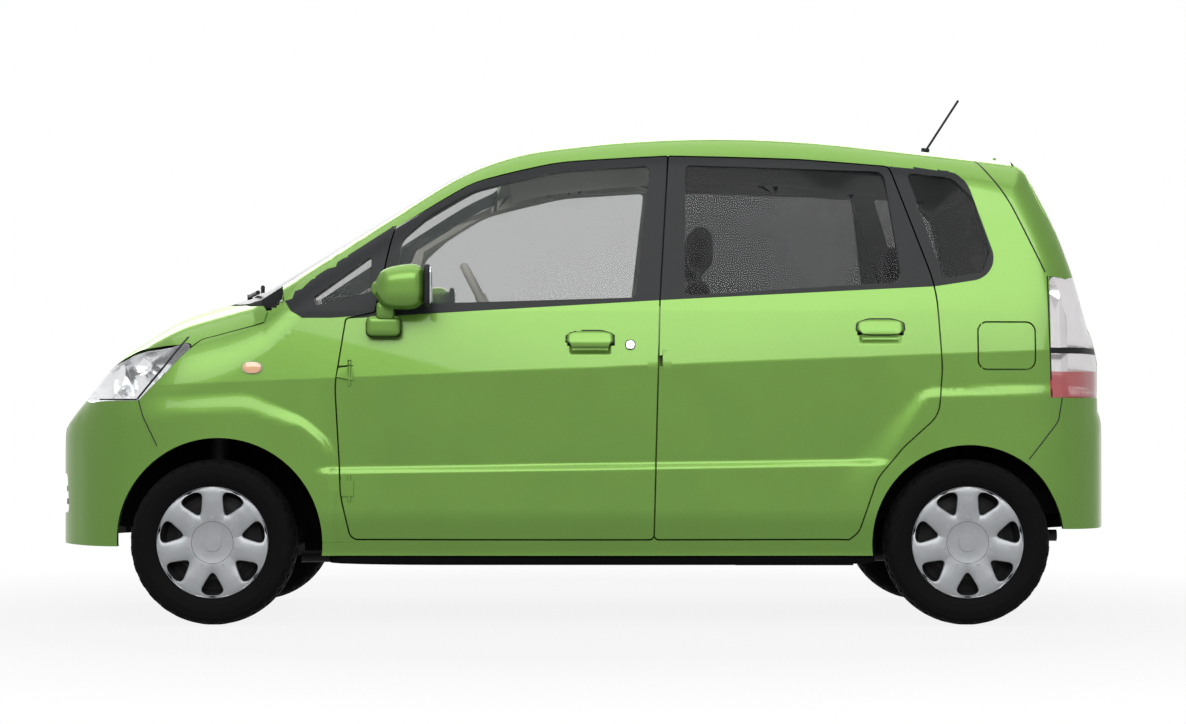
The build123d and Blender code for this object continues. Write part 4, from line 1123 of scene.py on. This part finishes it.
# Pads of a front seat: x range, half width, height range, lean, crown, channels.
FRONT_SEAT = (
    ("cushion", (-0.180, 0.290), 0.232, (0.405, 0.530), 0.0, SEAT_CROWN, SEAT_CHANNELS),
    ("backrest", (0.245, 0.335), 0.228, (0.520, 1.085), 0.155, (0.014, 0.006, 0.004), SEAT_CHANNELS),
    ("headrest", (0.350, 0.425), 0.125, (1.125, 1.262), 0.0, HEAD_CROWN, ()),
)
for index, y in enumerate((-0.34, 0.34)):
    for label, xs, *shape in FRONT_SEAT:
        pad = cushion(f"front_{label}_{index}", xs, y, *shape)
        if label == "cushion" and index == 0:
            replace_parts(pad, "front_seats")
    rounded_box(f"seat_base_{index}", (-0.115, 0.215), (y - 0.19, y + 0.19), (0.243, 0.410), 0.02, DARK_TRIM,
                "interior", cuts=5)
    for number, off in ((0, -0.05), (10, 0.05)):
        rounded_box(f"headrest_stay_{index}_{number}", (0.380, 0.392), (y + off - 0.006, y + off + 0.006),
                    (1.06, 1.14), 0.005, STEEL, "steel", cuts=3)
bench = cushion("rear_cushion", (0.568, 0.962), 0.0, BENCH_HALF, (0.366, 0.552), 0.0, SEAT_CROWN, BENCH_CHANNELS,
                BENCH_ROWS)
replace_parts(bench, "rear_seat")
cushion("rear_backrest", (0.970, 1.042), 0.0, BENCH_HALF, (0.530, 1.082), 0.135, (0.012, 0.006, 0.004),
        BENCH_CHANNELS, BENCH_ROWS)
for index, y in enumerate((-0.30, 0.30)):
    cushion(f"rear_headrest_{index}", (1.045, 1.106), y, 0.115, (1.118, 1.236), 0.0, HEAD_CROWN)


# Headlamp insides: reflector bowls.
def bowl(name, centre, axis, radius, deep):
    rows, count = 9, 36
    axis = Vector(axis).normalized()
    across = axis.orthogonal().normalized()
    up = axis.cross(across)
    verts = []
    for j in range(rows):
        share = j / (rows - 1)
        r = radius * max(share, 0.02)
        back = deep * (1 - share ** 2)
        for f in turns(count):
            verts.append(Vector(centre) - axis * back + across * r * math.cos(f) + up * r * math.sin(f))
    mesh_object(name, verts, quads(rows, count, closed=True), [CHROME], "lamp_clear")


for side, way in SIDES:
    bowl(f"main_reflector_{side}", (-1.462, way * 0.545, 0.772), (-0.86, way * 0.42, 0.25), 0.048, 0.034)
    bowl(f"turn_reflector_{side}", (-1.372, way * 0.612, 0.812), (-0.62, way * 0.72, 0.30), 0.032, 0.024)


# Fixed nodes that keep their own shape.
for mat, names in (
    (BLACK, ("wipers", "antenna")), (DARK_TRIM, ("dashboard",)), (TRIM, ("steering_wheel",)),
    (CASTING, ("engine",)),
    (UNDER, ("front_subframe", "rear_axle", "fuel_tank", "floor_pan")),
    (DARK_STEEL, ("exhaust", "knuckle_left", "knuckle_right", "steering_rack")),
):
    for name in names:
        slots = nodes[name].data.materials
        if not slots:
            slots.append(mat)
        for i in range(len(slots)):
            slots[i] = mat
edge = nodes["dashboard"].modifiers.new("edges", "BEVEL")
edge.width = 0.012
edge.segments = 4
edge.limit_method = "ANGLE"


# Stage: pale floor that keeps the shadow, soft lights, white surroundings.
FLOOR_HALF = 40
FLOOR_GREY = 0.30
FLOOR_NEAR, FLOOR_FAR = (1.9, 0.88), (3.4, 1.0)  # distance and share of white
AMBIENT = 0.05


def direct_rays(tree):
    """1 for camera, glossy and transmission rays, 0 for those that light the object."""
    path = add_node(tree, "ShaderNodeLightPath")
    seen = add_node(tree, "ShaderNodeMath", "MAXIMUM")
    wire(path, "Is Camera Ray", seen, 0)
    wire(path, "Is Glossy Ray", seen, 1)
    direct = add_node(tree, "ShaderNodeMath", "MAXIMUM")
    wire(seen, "Value", direct, 0)
    wire(path, "Is Transmission Ray", direct, 1)
    return direct


def stage_floor():
    mat = bpy.data.materials.new("stage_floor")
    mat.use_nodes = True
    tree = mat.node_tree
    shader = tree.nodes["Principled BSDF"]
    shader.inputs["Base Color"].default_value = (FLOOR_GREY, FLOOR_GREY, FLOOR_GREY, 1)
    shader.inputs["Roughness"].default_value = 0.9
    shader.inputs["Specular IOR Level"].default_value = 0.0
    reach = add_node(tree, "ShaderNodeVectorMath", "LENGTH")
    wire(add_node(tree, "ShaderNodeNewGeometry"), "Position", reach, 0)
    white = add_node(tree, "ShaderNodeMapRange", From_Min=FLOOR_NEAR[0], From_Max=FLOOR_FAR[0],
                     To_Min=FLOOR_NEAR[1], To_Max=FLOOR_FAR[1])
    wire(reach, "Value", white, "Value")
    part = add_node(tree, "ShaderNodeMath", "MULTIPLY")
    wire(direct_rays(tree), "Value", part, 0)
    wire(white, "Result", part, 1)
    mix = add_node(tree, "ShaderNodeMixShader")
    wire(part, "Value", mix, "Fac")
    wire(shader, "BSDF", mix, 1)
    wire(add_node(tree, "ShaderNodeEmission"), "Emission", mix, 2)
    wire(mix, "Shader", tree.nodes["Material Output"], "Surface")
    mesh = bpy.data.meshes.new("stage_floor")
    corners = [(x * FLOOR_HALF, y * FLOOR_HALF, 0) for x, y in ((-1, -1), (1, -1), (1, 1), (-1, 1))]
    mesh.from_pydata(corners, [], [(0, 1, 2, 3)])
    mesh.materials.append(mat)
    floor = link(bpy.data.objects.new("stage_floor", mesh))


def lamp(name, place, aim, size, watts):
    data = bpy.data.lights.new(name, "AREA")
    data.shape = "RECTANGLE"
    data.size, data.size_y = size
    data.energy = watts
    obj = link(bpy.data.objects.new(name, data))
    obj.location = place
    obj.rotation_euler = (Vector(aim) - Vector(place)).to_track_quat("-Z", "Y").to_euler()
    obj.visible_camera = False


stage_floor()
world = bpy.data.worlds.new("studio")
bpy.context.scene.world = world
world.use_nodes = True
sky = world.node_tree.nodes["Background"]
sky.inputs["Color"].default_value = (1, 1, 1, 1)
level = add_node(world.node_tree, "ShaderNodeMapRange", To_Min=AMBIENT, To_Max=1.0)
wire(direct_rays(world.node_tree), "Value", level, "Value")
wire(level, "Result", sky, "Strength")
for way in (-1, 1):
    lamp(f"bank_{way + 2}", (0, way * 11.5, 6.9), (0, 0, 0.7), (16, 6.4), 1460)
    lamp(f"strip_{way + 2}", (0, way * 2.5, 3.2), (0, way * 0.75, 0.75), (6.0, 1.0), 22)
lamp("overhead", (0, 0, 6.0), (0, 0, 0), (9, 6), 300)

# The photo's view: level, from the left side.
camera = bpy.data.cameras.new("camera")
camera.lens = 87.8
camera.sensor_width = 36
camera.sensor_fit = "HORIZONTAL"
camera.shift_x = 0.0025
camera.shift_y = 0.047
camera.clip_end = 200
eye = link(bpy.data.objects.new("camera", camera))
eye.location = (MID, -9.74, 0.65)
eye.rotation_euler = (math.pi / 2, 0, 0)
bpy.context.scene.camera = eye
bpy.context.scene.view_settings.view_transform = "Standard"
